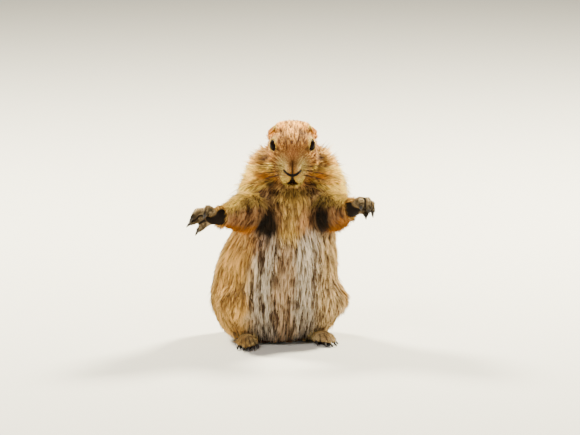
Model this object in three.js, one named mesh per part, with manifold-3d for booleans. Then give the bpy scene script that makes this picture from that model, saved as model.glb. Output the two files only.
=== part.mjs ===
// A black-tailed prairie dog sitting bolt upright on its haunches, arms held out to both sides, palms to the
// front. Millimetres, +Z up, the face looks along -Y, and the animal's own left side is towards +X.
// The flesh is one rounded form, written as a function that is negative inside the body. That form is meshed
// part by part and parted with thin cuts, so that every part keeps its own closed solid.
import * as THREE from "three";
import { LoftGeometry } from "three/addons/geometries/LoftGeometry.js";
import { mergeVertices } from "three/addons/utils/BufferGeometryUtils.js";
import Module from "manifold-3d";

const wasm = await Module();
wasm.setup();

// Driving sizes of the whole animal
const GAP = 0.3; // clearance between touching parts
const BODY_YAW = THREE.MathUtils.degToRad(15); // the trunk turns this far towards the animal's left
const HEAD_PITCH = THREE.MathUtils.degToRad(24); // the snout dips this far below the horizon
const EYE_LINE = new THREE.Vector3(13, -20, 182.4); // midpoint between the eyeballs

// Eyes, in the head's own frame
const EYE_RADIUS = 6.2;
const EYE_CENTRE = { x: 13.3, y: -1.6, z: -0.2 };
const EYE_AZIMUTH = THREE.MathUtils.degToRad(56); // outward turn of the gaze from straight ahead
const EYE_RISE = THREE.MathUtils.degToRad(8);
const LID_THICKNESS = 0.9;
const LID_HALF_LENGTH = 6.2;
const LID_HALF_HEIGHT = 4.2;
const LID_SLANT = THREE.MathUtils.degToRad(42); // the inner corner lies this much lower

// Snout: where it parts from the head, and its openings, in the head's own frame
const SNOUT_FROM = -12.5;
const NOSTRILS = { halfWidth: 6.6, low: -17.8, rise: 1.8, radius: 0.95 };
const MOUTH = { z: -28.6, halfWidth: 5, halfHeight: 2.4, deep: 4 };

// Ears: a low round rim behind each eye, with a cup that opens outwards and forwards
const EAR_AT = { x: 18.6, y: 13, z: 6.6 };
const EAR_SIZE = { thick: 2.3, long: 5.4, high: 5.8 };
const EAR_TURN = THREE.MathUtils.degToRad(78); // how far the cup faces outwards from straight ahead
const EAR_LEAN = THREE.MathUtils.degToRad(34); // how far the top leans towards the crown
const EAR_CUP = 0.76; // the cup's size, as a share of the ear's

// Claws
const HAND_CLAW = { radius: 1.2, length: 5.8, fall: 0.34 };
const FOOT_CLAW = { radius: 1, length: 5, fall: 0.12 };

// Feet and tail
const FOOT_LENGTH = 47;
const TAIL_LENGTH = 74;
const TOE_COUNT = 5;
const TAIL_LOCKS = { count: 18, length: 24, width: 5, thick: 1.7, lift: 0.3 };

// Mesh steps: how large a face each part may have
const STEP = { trunk: 11, head: 4.9, muzzle: 3, arm: 6, hand: 2.5, leg: 10, foot: 3.5, tail: 5, ear: 3.5 };

const BIG = 400; // edge of a block that stands for half of space

const v = (x, y, z) => new THREE.Vector3(x, y, z);
const turned = (angle) => ({ c: Math.cos(angle), s: Math.sin(angle) });

// Fields: functions of a point, negative inside

function ellipsoid(c, s) {
  return (x, y, z) => {
    const px = (x - c.x) / s.x;
    const py = (y - c.y) / s.y;
    const pz = (z - c.z) / s.z;
    const k0 = Math.sqrt(px * px + py * py + pz * pz);
    const k1 = Math.sqrt((px / s.x) ** 2 + (py / s.y) ** 2 + (pz / s.z) ** 2);
    return k1 < 1e-9 ? -Math.min(s.x, s.y, s.z) : (k0 * (k0 - 1)) / k1;
  };
}

// A tapered rod with round ends
function rod(a, b, radiusA, radiusB) {
  const d = b.clone().sub(a);
  const length2 = d.lengthSq();
  return (x, y, z) => {
    const px = x - a.x;
    const py = y - a.y;
    const pz = z - a.z;
    const t = Math.min(1, Math.max(0, (px * d.x + py * d.y + pz * d.z) / length2));
    const qx = px - t * d.x;
    const qy = py - t * d.y;
    const qz = pz - t * d.z;
    return Math.sqrt(qx * qx + qy * qy + qz * qz) - (radiusA + t * (radiusB - radiusA));
  };
}

// Joins fields with a fillet of about the given size
function blend(fillet, ...fields) {
  return (x, y, z) => {
    let d = fields[0](x, y, z);
    for (let i = 1; i < fields.length; i++) {
      const e = fields[i](x, y, z);
      const h = Math.max(fillet - Math.abs(d - e), 0) / fillet;
      d = Math.min(d, e) - (h * h * fillet) / 4;
    }
    return d;
  };
}

const grown = (field, by) => (x, y, z) => field(x, y, z) - by;

// Evaluates a field in the frame that a matrix places
function placed(matrix, field) {
  const e = matrix.clone().invert().elements;
  return (x, y, z) =>
    field(
      e[0] * x + e[4] * y + e[8] * z + e[12],
      e[1] * x + e[5] * y + e[9] * z + e[13],
      e[2] * x + e[6] * y + e[10] * z + e[14],
    );
}

// The left part of a pair, and its mirror image in the middle plane
const both = (make) => [make(1), make(-1)];

// Frames

const headFrame = new THREE.Matrix4().makeRotationX(HEAD_PITCH).setPosition(EYE_LINE);
const HIP = v(-3, 8, 0);
const bodyFrame = new THREE.Matrix4().makeRotationZ(BODY_YAW).setPosition(HIP);
const inHead = (x, y, z) => v(x, y, z).applyMatrix4(headFrame);
const inBody = (x, y, z) => v(x, y, z).applyMatrix4(bodyFrame);

// Trunk: level sections from the seat to the nape, as half width and half depth about a leaning centre line
const TRUNK = [
  { z: -3, x: -3, y: 16, wide: 14, deep: 15, yaw: 15 },
  { z: 3, x: -3, y: 15, wide: 31, deep: 32, yaw: 15 },
  { z: 13, x: -3, y: 13, wide: 43.5, deep: 44, yaw: 15 },
  { z: 30, x: -3, y: 10, wide: 50, deep: 50, yaw: 15 },
  { z: 48, x: -2.4, y: 6, wide: 52.5, deep: 51, yaw: 15 },
  { z: 70, x: -0.6, y: 2, wide: 53.5, deep: 49, yaw: 15 },
  { z: 90, x: 3, y: -1, wide: 49.5, deep: 44.5, yaw: 14 },
  { z: 106, x: 6.6, y: -1, wide: 45.5, deep: 39, yaw: 12 },
  { z: 122, x: 10.5, y: 0, wide: 46, deep: 34.5, yaw: 9 },
  { z: 135, x: 12.8, y: 1.5, wide: 48, deep: 29.5, yaw: 5 },
  { z: 147, x: 13.6, y: 2.5, wide: 45, deep: 24.5, yaw: 2 },
  { z: 160, x: 13.6, y: 2.5, wide: 39, deep: 21, yaw: 0 },
  { z: 172, x: 13.2, y: 1, wide: 30, deep: 17, yaw: 0 },
  { z: 183, x: 13, y: 0, wide: 17, deep: 11, yaw: 0 },
];

function trunkField() {
  const low = TRUNK[0].z;
  const high = TRUNK[TRUNK.length - 1].z;
  const at = (key, i) => TRUNK[Math.min(TRUNK.length - 1, Math.max(0, i))][key];
  const slope = (key, i) => (at(key, i + 1) - at(key, i - 1)) / (at("z", i + 1) - at("z", i - 1));
  // Hermite curve through the sections
  const value = (key, z) => {
    let i = 0;
    while (i < TRUNK.length - 2 && TRUNK[i + 1].z < z) i++;
    const h = TRUNK[i + 1].z - TRUNK[i].z;
    const t = (z - TRUNK[i].z) / h;
    const t2 = t * t;
    const t3 = t2 * t;
    return (
      (2 * t3 - 3 * t2 + 1) * at(key, i) +
      (t3 - 2 * t2 + t) * h * slope(key, i) +
      (3 * t2 - 2 * t3) * at(key, i + 1) +
      (t3 - t2) * h * slope(key, i + 1)
    );
  };
  const perMm = 2;
  const sections = [];
  for (let i = 0; i <= (high - low) * perMm; i++) {
    const z = low + i / perMm;
    const yaw = THREE.MathUtils.degToRad(value("yaw", z));
    sections.push({
      x: value("x", z),
      y: value("y", z),
      wide: value("wide", z),
      deep: value("deep", z),
      ...turned(yaw),
    });
  }
  return (x, y, z) => {
    const i = Math.min(sections.length - 1, Math.max(0, Math.round((z - low) * perMm)));
    const s = sections[i];
    const dx = x - s.x;
    const dy = y - s.y;
    const px = (dx * s.c + dy * s.s) / s.wide;
    const py = (dy * s.c - dx * s.s) / s.deep;
    const k0 = Math.sqrt(px * px + py * py);
    const k1 = Math.sqrt((px / s.wide) ** 2 + (py / s.deep) ** 2);
    const round = k1 < 1e-9 ? -s.deep : (k0 * (k0 - 1)) / k1;
    return Math.max(round, z - high, low - z);
  };
}

// Head, in its own frame: x to the animal's left, y to the back, z up, from the midpoint of the eyes
function headField() {
  const skull = ellipsoid(v(0, 13, -2), v(23.5, 17.5, 14.5));
  const brow = ellipsoid(v(0, -1, 2.2), v(16.5, 15, 10));
  const cheeks = both((s) => ellipsoid(v(s * 14.5, 3, -14), v(12.5, 14, 13)));
  const jowls = both((s) => ellipsoid(v(s * 12.5, 4, -24), v(12, 13, 11)));
  const midFace = ellipsoid(v(0, -5, -12), v(21, 12.5, 13));
  const snout = rod(v(0, -4, -8), v(0, -19, -14.5), 13.5, 8.6);
  const whiskerPads = both((s) => ellipsoid(v(s * 5, -18, -21), v(6.6, 8.2, 7.6)));
  const noseTip = ellipsoid(v(0, -24.6, -13.4), v(5, 3.8, 5));
  const jaw = rod(v(0, 3, -25), v(0, -15.5, -31), 10, 5.8);
  const lids = both((s) =>
    ellipsoid(
      v(s * EYE_CENTRE.x, EYE_CENTRE.y, EYE_CENTRE.z),
      v(1, 1, 1).multiplyScalar(EYE_RADIUS + LID_THICKNESS),
    ),
  );
  const face = blend(5, skull, brow, ...cheeks, ...jowls, midFace, snout, jaw);
  return blend(2.2, blend(2.6, face, ...whiskerPads, noseTip), ...lids);
}

// Arms: shoulder, elbow and wrist, in the whole animal's frame
const ARM = {
  left: { shoulder: v(34, -13, 122), elbow: v(49, -29, 123), wrist: v(64, -50, 129.4) },
  right: { shoulder: v(-8, -18, 122), elbow: v(-29, -34, 122.8), wrist: v(-50, -52, 123) },
};
const ARM_RADIUS = { shoulder: 15.5, elbow: 15.8, wrist: 8.4 };

function armField({ shoulder, elbow, wrist }) {
  const upper = rod(shoulder, elbow, ARM_RADIUS.shoulder, ARM_RADIUS.elbow);
  const fore = rod(elbow, wrist, ARM_RADIUS.elbow, ARM_RADIUS.wrist);
  return blend(6, upper, fore);
}

// Hands: a palm, a thumb stub and four fingers, each given by its root, knuckle and tip from the wrist
const FINGER_RADIUS = { root: 3.3, knuckle: 3.1, tip: 2.5 };
const PALM_RADIUS = 6.6;
const THUMB_RADIUS = 2.5;
const HAND = {
  left: {
    palm: [v(1.5, -1.5, 1), v(9.5, -4, 3)],
    thumb: [v(1, -5, 4), v(0.6, -8.5, 6.4)],
    fingers: [
      [v(5.5, -5, 6.8), v(9, -12, 9.4), v(9.4, -15.8, 4.2)],
      [v(10.5, -4.5, 7.2), v(15.6, -9.8, 8.4), v(16.4, -13.8, 1)],
      [v(12.5, -1, 3.6), v(18.6, -4.6, 4.8), v(19.6, -9, -1.4)],
      [v(9.5, 0.5, -1.4), v(13.6, -4, -2.6), v(13.8, -8.8, -4.6)],
    ],
  },
  right: {
    palm: [v(-1, -1.5, 0), v(-9.5, -4, -0.8)],
    thumb: [v(-4.5, -6.5, 3.5), v(-5.5, -10, 4)],
    fingers: [
      [v(-8, -6, 5.4), v(-11.8, -13, 8.8), v(-14, -16, 3.8)],
      [v(-13.4, -4, 4.8), v(-21, -7.5, 5.2), v(-25.4, -10.5, 0)],
      [v(-14, -2, -0.2), v(-22.4, -5.5, -3.2), v(-26.6, -8, -5.4)],
      [v(-11, -2, -4.2), v(-16.8, -5, -8.8), v(-19.8, -6.5, -12)],
    ],
  },
};

const fromWrist = (side, p) => p.clone().add(ARM[side].wrist);

function handField(side) {
  const { palm, thumb, fingers } = HAND[side];
  const base = rod(fromWrist(side, palm[0]), fromWrist(side, palm[1]), PALM_RADIUS + 0.8, PALM_RADIUS);
  const stub = rod(fromWrist(side, thumb[0]), fromWrist(side, thumb[1]), THUMB_RADIUS, THUMB_RADIUS - 0.4);
  const digits = fingers.map(([root, knuckle, tip]) =>
    blend(
      0.8,
      rod(fromWrist(side, root), fromWrist(side, knuckle), FINGER_RADIUS.root, FINGER_RADIUS.knuckle),
      rod(fromWrist(side, knuckle), fromWrist(side, tip), FINGER_RADIUS.knuckle, FINGER_RADIUS.tip),
    ),
  );
  let d = blend(2, base, stub);
  for (const digit of digits) d = blend(0.9, d, digit);
  return d;
}

// Hind legs, in the trunk's frame: x to the animal's left, y to the back
const KNEE = { x: 45, y: -31, z: 40 };
const HEEL = { x: 31, y: -8, z: 6.5 };
const TOE_SPLAY = THREE.MathUtils.degToRad(9);

function legField(side) {
  const hip = inBody(side * 27, 16, 40);
  const knee = inBody(side * KNEE.x, KNEE.y, KNEE.z);
  const ankle = inBody(side * (HEEL.x + 4), HEEL.y - 2, HEEL.z + 6);
  const haunch = placed(bodyFrame, ellipsoid(v(side * 36, -6, 38), v(20.5, 34, 31)));
  const thigh = rod(hip, knee, 25, 12.5);
  const shank = rod(knee, ankle, 12, 7.5);
  return blend(8, haunch, thigh, shank);
}

function footFrame(side) {
  const heel = inBody(side * HEEL.x, HEEL.y, HEEL.z);
  return new THREE.Matrix4().makeRotationZ(BODY_YAW + side * TOE_SPLAY).setPosition(heel);
}

const TOE_REACH = [0.7, 0.92, 1, 0.95, 0.76]; // how far each toe goes, from the inner one to the outer one
const TOE_SPREAD = 3.9;
const TOE_RADIUS = 2.7;
const toeMiddle = (TOE_COUNT - 1) / 2;

// A toe's root, knuckle and tip in the foot's own frame
function toePoints(side, i) {
  const across = side * (i - toeMiddle) * TOE_SPREAD;
  const tip = -(FOOT_LENGTH - 8) * TOE_REACH[i] - 6;
  return [v(across * 0.72, -26, -1), v(across * 0.95, tip + 7, 0.2), v(across * 1.12, tip, -3.2)];
}

function footField(side) {
  const sole = rod(v(0, 2, 0.4), v(0, -29, -0.6), 6.6, 6.2);
  const ball = ellipsoid(v(0, -27, -1.6), v(9.4, 9, 5.2));
  const toes = Array.from({ length: TOE_COUNT }, (_, i) => {
    const [root, knuckle, tip] = toePoints(side, i);
    return blend(
      0.8,
      rod(root, knuckle, TOE_RADIUS + 0.3, TOE_RADIUS),
      rod(knuckle, tip, TOE_RADIUS, TOE_RADIUS - 0.6),
    );
  });
  let d = blend(4, sole, ball);
  for (const toe of toes) d = blend(0.9, d, toe);
  return placed(footFrame(side), d);
}

// Tail: laid on the floor behind the seat, with a gentle bend
const TAIL_ROOT = { y: 40, z: 13 };
const tailCurve = new THREE.CatmullRomCurve3([
  inBody(0, TAIL_ROOT.y, TAIL_ROOT.z),
  inBody(0.5, TAIL_ROOT.y + TAIL_LENGTH * 0.33, 7.5),
  inBody(3.5, TAIL_ROOT.y + TAIL_LENGTH * 0.68, 6.5),
  inBody(9, TAIL_ROOT.y + TAIL_LENGTH * 0.98, 6.5),
]);
const TAIL_RADIUS = [10, 7, 6.6, 6.4, 5.2, 2.2]; // the core, from the root to the tip

function tailField() {
  const last = TAIL_RADIUS.length - 1;
  const points = tailCurve.getPoints(last);
  return blend(3, ...points.slice(1).map((p, i) => rod(points[i], p, TAIL_RADIUS[i], TAIL_RADIUS[i + 1])));
}

// Meshing: the surface through a grid of cubes. Each loop that the surface makes through a cube's sides becomes
// one point, moved onto the surface, and the four points round each crossed grid edge are joined into two faces.

const CORNERS = Array.from({ length: 8 }, (_, c) => [c & 1, (c >> 1) & 1, c >> 2]);
const EDGES = [];
for (let a = 0; a < 8; a++) for (const bit of [1, 2, 4]) if (!(a & bit)) EDGES.push([a, a | bit]);
// A cube's six sides, each as its four corners in order round it
const SIDES_OF_CUBE = [];
for (const [bit, one, two] of [[1, 2, 4], [2, 1, 4], [4, 1, 2]])
  for (const base of [0, bit]) SIDES_OF_CUBE.push([base, base | one, base | one | two, base | two]);
const edgeBetween = (a, b) => EDGES.findIndex(([p, q]) => (p === a && q === b) || (p === b && q === a));

// For each way that a cube's corners can lie inside or outside: which loop each crossed edge belongs to
const LOOPS = Array.from({ length: 256 }, (_, inside) => {
  const isIn = (corner) => (inside >> corner) & 1;
  const loopOf = EDGES.map(([a, b], i) => (isIn(a) !== isIn(b) ? i : -1));
  const join = (p, q) => {
    const from = loopOf[q];
    const to = loopOf[p];
    loopOf.forEach((loop, i) => (loopOf[i] = loop === from ? to : loop));
  };
  for (const side of SIDES_OF_CUBE) {
    const crossed = side
      .map((corner, i) => [corner, side[(i + 1) % 4]])
      .filter(([a, b]) => isIn(a) !== isIn(b));
    if (crossed.length === 2) join(...crossed.map(([a, b]) => edgeBetween(a, b)));
    if (crossed.length === 4)
      side.forEach((corner, i) => {
        if (isIn(corner)) join(edgeBetween(corner, side[(i + 1) % 4]), edgeBetween(corner, side[(i + 3) % 4]));
      });
  }
  const names = [...new Set(loopOf.filter((loop) => loop >= 0))];
  return loopOf.map((loop) => (loop < 0 ? -1 : names.indexOf(loop)));
});

// Fills the corners where two bodies of the grid touch along an edge only
function closePinches(values, n, step) {
  const stride = [1, n[0], n[0] * n[1]];
  for (let pass = 0; pass < 8; pass++) {
    let filled = 0;
    for (let k = 0; k < n[2] - 1; k++)
      for (let j = 0; j < n[1] - 1; j++)
        for (let i = 0; i < n[0] - 1; i++)
          for (let axis = 0; axis < 3; axis++) {
            const a = (k * n[1] + j) * n[0] + i;
            const [u, w] = [stride[(axis + 1) % 3], stride[(axis + 2) % 3]];
            const signs = [a, a + u, a + u + w, a + w].map((q) => values[q] < 0);
            if (signs[0] !== signs[2] || signs[1] !== signs[3] || signs[0] === signs[1]) continue;
            const out = (signs[0] ? [a + u, a + w] : [a, a + u + w]).sort((p, q) => values[p] - values[q]);
            values[out[0]] = -step * 0.02;
            filled++;
          }
    if (!filled) break;
  }
}

function surfaceOf(field, low, high, step) {
  const origin = [low.x, low.y, low.z];
  const n = ["x", "y", "z"].map((k) => Math.ceil((high[k] - low[k]) / step) + 1);
  const index = (i, j, k) => (k * n[1] + j) * n[0] + i;
  const values = new Float32Array(n[0] * n[1] * n[2]);
  for (let k = 0; k < n[2]; k++)
    for (let j = 0; j < n[1]; j++)
      for (let i = 0; i < n[0]; i++) {
        const border = i === 0 || j === 0 || k === 0 || i === n[0] - 1 || j === n[1] - 1 || k === n[2] - 1;
        const d = field(low.x + i * step, low.y + j * step, low.z + k * step);
        values[index(i, j, k)] = border ? Math.max(d, step / 4) : d;
      }
  closePinches(values, n, step);

  // Moves a point down the field's slope until it lies on the surface, unless that takes it far
  const reach = step * 0.05;
  function settle(start) {
    let p = [...start];
    for (let pass = 0; pass < 3; pass++) {
      const d = field(...p);
      const slope = [0, 1, 2].map((axis) => {
        const ahead = p.map((q, i) => (i === axis ? q + reach : q));
        const back = p.map((q, i) => (i === axis ? q - reach : q));
        return (field(...ahead) - field(...back)) / (2 * reach);
      });
      const steep = slope[0] ** 2 + slope[1] ** 2 + slope[2] ** 2;
      if (steep < 1e-6) break;
      p = p.map((q, axis) => q - (d * slope[axis]) / steep);
    }
    const moved = Math.hypot(p[0] - start[0], p[1] - start[1], p[2] - start[2]);
    return moved < step * 0.5 ? p : start;
  }

  const points = [];
  const firstPoint = new Int32Array(values.length).fill(-1);
  const inside = new Uint8Array(values.length);
  for (let k = 0; k < n[2] - 1; k++)
    for (let j = 0; j < n[1] - 1; j++)
      for (let i = 0; i < n[0] - 1; i++) {
        const at = CORNERS.map(([a, b, c]) => values[index(i + a, j + b, k + c)]);
        const code = at.reduce((sum, d, corner) => sum | ((d < 0 ? 1 : 0) << corner), 0);
        inside[index(i, j, k)] = code;
        if (code === 0 || code === 255) continue;
        const loops = LOOPS[code];
        firstPoint[index(i, j, k)] = points.length / 3;
        for (let loop = 0; loop <= Math.max(...loops); loop++) {
          const sum = [0, 0, 0];
          let crossings = 0;
          EDGES.forEach(([a, b], e) => {
            if (loops[e] !== loop) return;
            const t = at[a] / (at[a] - at[b]);
            for (let axis = 0; axis < 3; axis++)
              sum[axis] += CORNERS[a][axis] + t * (CORNERS[b][axis] - CORNERS[a][axis]);
            crossings++;
          });
          const cell = [i, j, k];
          points.push(...settle(sum.map((s, axis) => origin[axis] + (cell[axis] + s / crossings) * step)));
        }
      }

  const faces = [];
  const distance = (a, b) => Math.hypot(...[0, 1, 2].map((axis) => points[a * 3 + axis] - points[b * 3 + axis]));
  const stride = [1, n[0], n[0] * n[1]];
  for (let k = 0; k < n[2] - 1; k++)
    for (let j = 0; j < n[1] - 1; j++)
      for (let i = 0; i < n[0] - 1; i++)
        for (let axis = 0; axis < 3; axis++) {
          const cell = [i, j, k];
          const [uAxis, wAxis] = [(axis + 1) % 3, (axis + 2) % 3];
          if (cell[uAxis] === 0 || cell[wAxis] === 0) continue;
          const here = index(i, j, k);
          const inHere = values[here] < 0;
          if (inHere === values[here + stride[axis]] < 0) continue;
          // The four cubes round this edge, each with the edge's place in it
          const around = [[1, 1], [0, 1], [0, 0], [1, 0]].map(([du, dw]) => {
            const cube = here - du * stride[uAxis] - dw * stride[wAxis];
            const corner = (du << uAxis) | (dw << wAxis);
            return firstPoint[cube] + LOOPS[inside[cube]][edgeBetween(corner, corner | (1 << axis))];
          });
          const [a, b, c, d] = inHere ? around : around.reverse();
          if (distance(a, c) < distance(b, d)) faces.push(a, b, c, a, c, d);
          else faces.push(b, c, d, b, d, a);
        }
  const geometry = new THREE.BufferGeometry();
  geometry.setAttribute("position", new THREE.BufferAttribute(new Float32Array(points), 3));
  geometry.setIndex(faces);
  return geometry;
}

// Solids

function solidOf(geometry) {
  const bare = new THREE.BufferGeometry();
  bare.setAttribute("position", geometry.getAttribute("position").clone());
  if (geometry.index) bare.setIndex(geometry.index.clone());
  const merged = mergeVertices(bare, 1e-4);
  return new wasm.Manifold(
    new wasm.Mesh({
      numProp: 3,
      vertProperties: merged.attributes.position.array,
      triVerts: new Uint32Array(merged.index.array),
    }),
  );
}

function largest(solid) {
  return solid.decompose().reduce((a, b) => (b.volume() > a.volume() ? b : a));
}

const group = new THREE.Group();

function addNode(name, solid, material) {
  const m = largest(solid).getMesh();
  const positions = new Float32Array(m.numVert * 3);
  for (let i = 0; i < m.numVert; i++)
    positions.set(m.vertProperties.subarray(i * m.numProp, i * m.numProp + 3), i * 3);
  const geometry = new THREE.BufferGeometry();
  geometry.setAttribute("position", new THREE.BufferAttribute(positions, 3));
  geometry.setIndex(new THREE.BufferAttribute(new Uint32Array(m.triVerts), 1));
  geometry.computeVertexNormals();
  const mesh = new THREE.Mesh(geometry, material);
  mesh.name = name;
  group.add(mesh);
}

// The half of space behind a plane, seen along its normal, less a margin
function behind(point, normal, margin = 0) {
  const block = new THREE.BoxGeometry(BIG, BIG, BIG).translate(0, 0, -BIG / 2 - margin);
  const turn = new THREE.Quaternion().setFromUnitVectors(v(0, 0, 1), normal.clone().normalize());
  block.applyQuaternion(turn).translate(point.x, point.y, point.z);
  return solidOf(block);
}

// A plane that parts two nodes, each half a gap away from it
function cut(point, normal) {
  return {
    back: behind(point, normal, GAP / 2),
    front: behind(point, normal.clone().negate(), GAP / 2),
  };
}

// A round socket that opens along a direction. widen gives its far radius
function socket(root, direction, radius, farRadius, length, margin = 0) {
  const plug = new THREE.CylinderGeometry(farRadius + margin, radius + margin, length + margin, 20);
  plug.translate(0, (length - margin) / 2, 0);
  const turn = new THREE.Quaternion().setFromUnitVectors(v(0, 1, 0), direction.clone().normalize());
  plug.applyQuaternion(turn).translate(root.x, root.y, root.z);
  return solidOf(plug);
}

// A tapered, bent rod of few sides: a curve, its radius at each share of its length, and the way it may be flat,
// which mustn't be the way the curve runs
function taper(points, radiusAt, sides, rings, flat = 1, flatAlong = v(0, 0, 1)) {
  const curve = new THREE.CatmullRomCurve3(points);
  const sections = [];
  for (let r = 0; r <= rings; r++) {
    const along = curve.getTangent(r / rings);
    const across = flatAlong.clone().cross(along).normalize();
    const up = along.clone().cross(across);
    const centre = curve.getPoint(r / rings);
    const radius = radiusAt(r / rings);
    const ring = Array.from({ length: sides }, (_, i) => {
      const a = (2 * Math.PI * i) / sides;
      return centre
        .clone()
        .addScaledVector(across, Math.cos(a) * radius)
        .addScaledVector(up, Math.sin(a) * radius * flat);
    });
    sections.push(ring);
  }
  return solidOf(new LoftGeometry(sections, { closed: true, capStart: true, capEnd: true }));
}

// Materials

const finish = (color, roughness) => new THREE.MeshStandardMaterial({ color, roughness, metalness: 0 });
const coat = finish(0xb58f5f, 0.9);
const paleCoat = finish(0xd8c096, 0.9);
const faceCoat = finish(0xa97c52, 0.9);
const pawSkin = finish(0x8d7458, 0.75);
const blackBrush = finish(0x2a211b, 0.85);
const eyeBlack = finish(0x0c0a09, 0.12);
const clawHorn = finish(0x2b2521, 0.35);

// The whole flesh, and the planes that part it

const head = placed(headFrame, headField());
const arms = { left: armField(ARM.left), right: armField(ARM.right) };
const legs = { left: legField(1), right: legField(-1) };
const tail = tailField();
const SIDES = ["left", "right"];
const signOf = (side) => (side === "left" ? 1 : -1);
const pairOf = (fields) => SIDES.map((side) => fields[side]);
const trunk = blend(8, blend(10, trunkField(), ...pairOf(legs)), ...pairOf(arms), tail);
const body = blend(5, trunk, head);

const inBodyTurn = (x, y, z) => inBody(x, y, z).sub(HIP);
const inHeadTurn = (x, y, z) => inHead(x, y, z).sub(EYE_LINE);
const floor = behind(v(0, 0, 0), v(0, 0, -1));
const snoutCut = cut(inHead(0, SNOUT_FROM, 0), inHeadTurn(0, -1, 0));
const neckCut = cut(v(13, 5, 161.5), v(0, -0.82, 0.57));
const collarCut = cut(v(12, -4, 144), v(0, 0.12, 1));
const waistCut = cut(v(4, 0, 92), v(0.05, 0, 1));
const hipCut = cut(v(-3, 8, 50), v(0, 0.1, 1));
const tailCut = cut(inBody(0, TAIL_ROOT.y + 9, 10), inBodyTurn(0, 1, 0));

// Round plugs that hold an arm or a haunch, grown by a margin where they cut the trunk
function armSocket(side, margin) {
  const { shoulder, elbow, wrist } = ARM[side];
  const out = elbow.clone().sub(shoulder).add(wrist.clone().sub(elbow)).normalize();
  const root = shoulder.clone().addScaledVector(out, 4);
  return socket(root, out, 21, 56, 84, margin);
}

function haunchSocket(side, margin) {
  return socket(inBody(signOf(side) * 33, -4, 33), inBodyTurn(signOf(side), 0, 0), 43, 47, 40, margin);
}

function pieceOf(field, low, high, step) {
  return solidOf(surfaceOf(field, low, high, step));
}

// Features of the head, each a solid to cut away or to set in

function eyeFrame(side) {
  const s = signOf(side);
  const gaze = v(
    s * Math.sin(EYE_AZIMUTH) * Math.cos(EYE_RISE),
    -Math.cos(EYE_AZIMUTH) * Math.cos(EYE_RISE),
    Math.sin(EYE_RISE),
  );
  const across = v(0, 0, 1).cross(gaze).normalize();
  const up = gaze.clone().cross(across);
  const local = new THREE.Matrix4().makeBasis(across, up, gaze);
  local.multiply(new THREE.Matrix4().makeRotationZ(s * LID_SLANT));
  local.setPosition(s * EYE_CENTRE.x, EYE_CENTRE.y, EYE_CENTRE.z);
  return headFrame.clone().multiply(local);
}

// The almond opening between the lids: two arcs that meet at the corners, pushed out along the gaze
function lidOpening(side) {
  const half = LID_HALF_LENGTH;
  const outline = new THREE.Shape();
  outline.moveTo(-half, 0);
  outline.quadraticCurveTo(0, -2 * LID_HALF_HEIGHT, half, 0);
  outline.quadraticCurveTo(0, 2 * LID_HALF_HEIGHT, -half, 0);
  const prism = new THREE.ExtrudeGeometry(outline, { depth: 14, bevelEnabled: false, curveSegments: 6 });
  return solidOf(prism.applyMatrix4(eyeFrame(side)));
}

function eyeBall(side, radius) {
  const ball = new THREE.SphereGeometry(radius, 14, 10).rotateX(Math.PI / 2);
  return solidOf(ball.applyMatrix4(eyeFrame(side)));
}

// An ear: a thick leaf with a hollow in the side that faces outwards and forwards
function earLeaf(side, share, outward) {
  const s = signOf(side);
  const leaf = new THREE.SphereGeometry(1, 11, 8);
  leaf.scale(EAR_SIZE.long * share, EAR_SIZE.thick * share, EAR_SIZE.high * share);
  leaf.translate(0, -outward, 0);
  leaf.rotateZ(s * EAR_TURN).rotateY(-s * EAR_LEAN).translate(s * EAR_AT.x, EAR_AT.y, EAR_AT.z);
  return solidOf(leaf.applyMatrix4(headFrame));
}

// The surface of the face seen from the front: how far forward it comes at a place, in the head's own frame
const face = headField();
function onFace(x, z) {
  let outside = -45;
  let inside = 5;
  for (let i = 0; i < 30; i++) {
    const middle = (outside + inside) / 2;
    if (face(x, middle, z) > 0) outside = middle;
    else inside = middle;
  }
  return inside;
}

// A groove that follows the face along a line of places
function groove(places, radius, flatAlong) {
  const points = places.map(([x, z]) => inHead(x, onFace(x, z), z));
  return taper(points, (t) => radius * (0.55 + 0.45 * Math.sin(Math.PI * t)), 6, 8, 1, flatAlong);
}

// The nostrils: one line that dips in the middle, below the tip of the nose
function nostrilLine() {
  const half = NOSTRILS.halfWidth;
  const steps = [-1, -0.66, -0.33, 0, 0.33, 0.66, 1];
  const places = steps.map((t) => [t * half, NOSTRILS.low + NOSTRILS.rise * t * t]);
  return groove(places, NOSTRILS.radius, v(0, 0, 1));
}

// The split of the upper lip, from the nostrils to the mouth
function lipSplit() {
  const places = [0, 0.5, 1].map((t) => [0, NOSTRILS.low + t * (MOUTH.z - NOSTRILS.low)]);
  return groove(places, NOSTRILS.radius * 0.7, v(1, 0, 0));
}

function mouthOpening() {
  const hollow = new THREE.SphereGeometry(1, 14, 8).scale(MOUTH.halfWidth, MOUTH.deep, MOUTH.halfHeight);
  hollow.translate(0, onFace(0, MOUTH.z) + MOUTH.deep * 0.35, MOUTH.z);
  return solidOf(hollow.applyMatrix4(headFrame));
}

// Trunk
let torso = pieceOf(body, v(-75, -75, -8), v(75, 75, 200), STEP.trunk).intersect(floor);
for (const side of SIDES) torso = torso.subtract(armSocket(side, GAP)).subtract(haunchSocket(side, GAP));

const feet = {};
for (const side of SIDES) {
  const field = footField(signOf(side));
  const middle = inBody(signOf(side) * (HEEL.x + 4), HEEL.y - 24, 0);
  const low = v(middle.x - 34, middle.y - 38, -6);
  const high = v(middle.x + 34, middle.y + 42, 20);
  feet[side] = {
    solid: pieceOf(field, low, high, STEP.foot).intersect(floor),
    hollow: pieceOf(grown(field, GAP * 3), low, high, STEP.foot),
  };
  torso = torso.subtract(feet[side].hollow);
}

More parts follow.
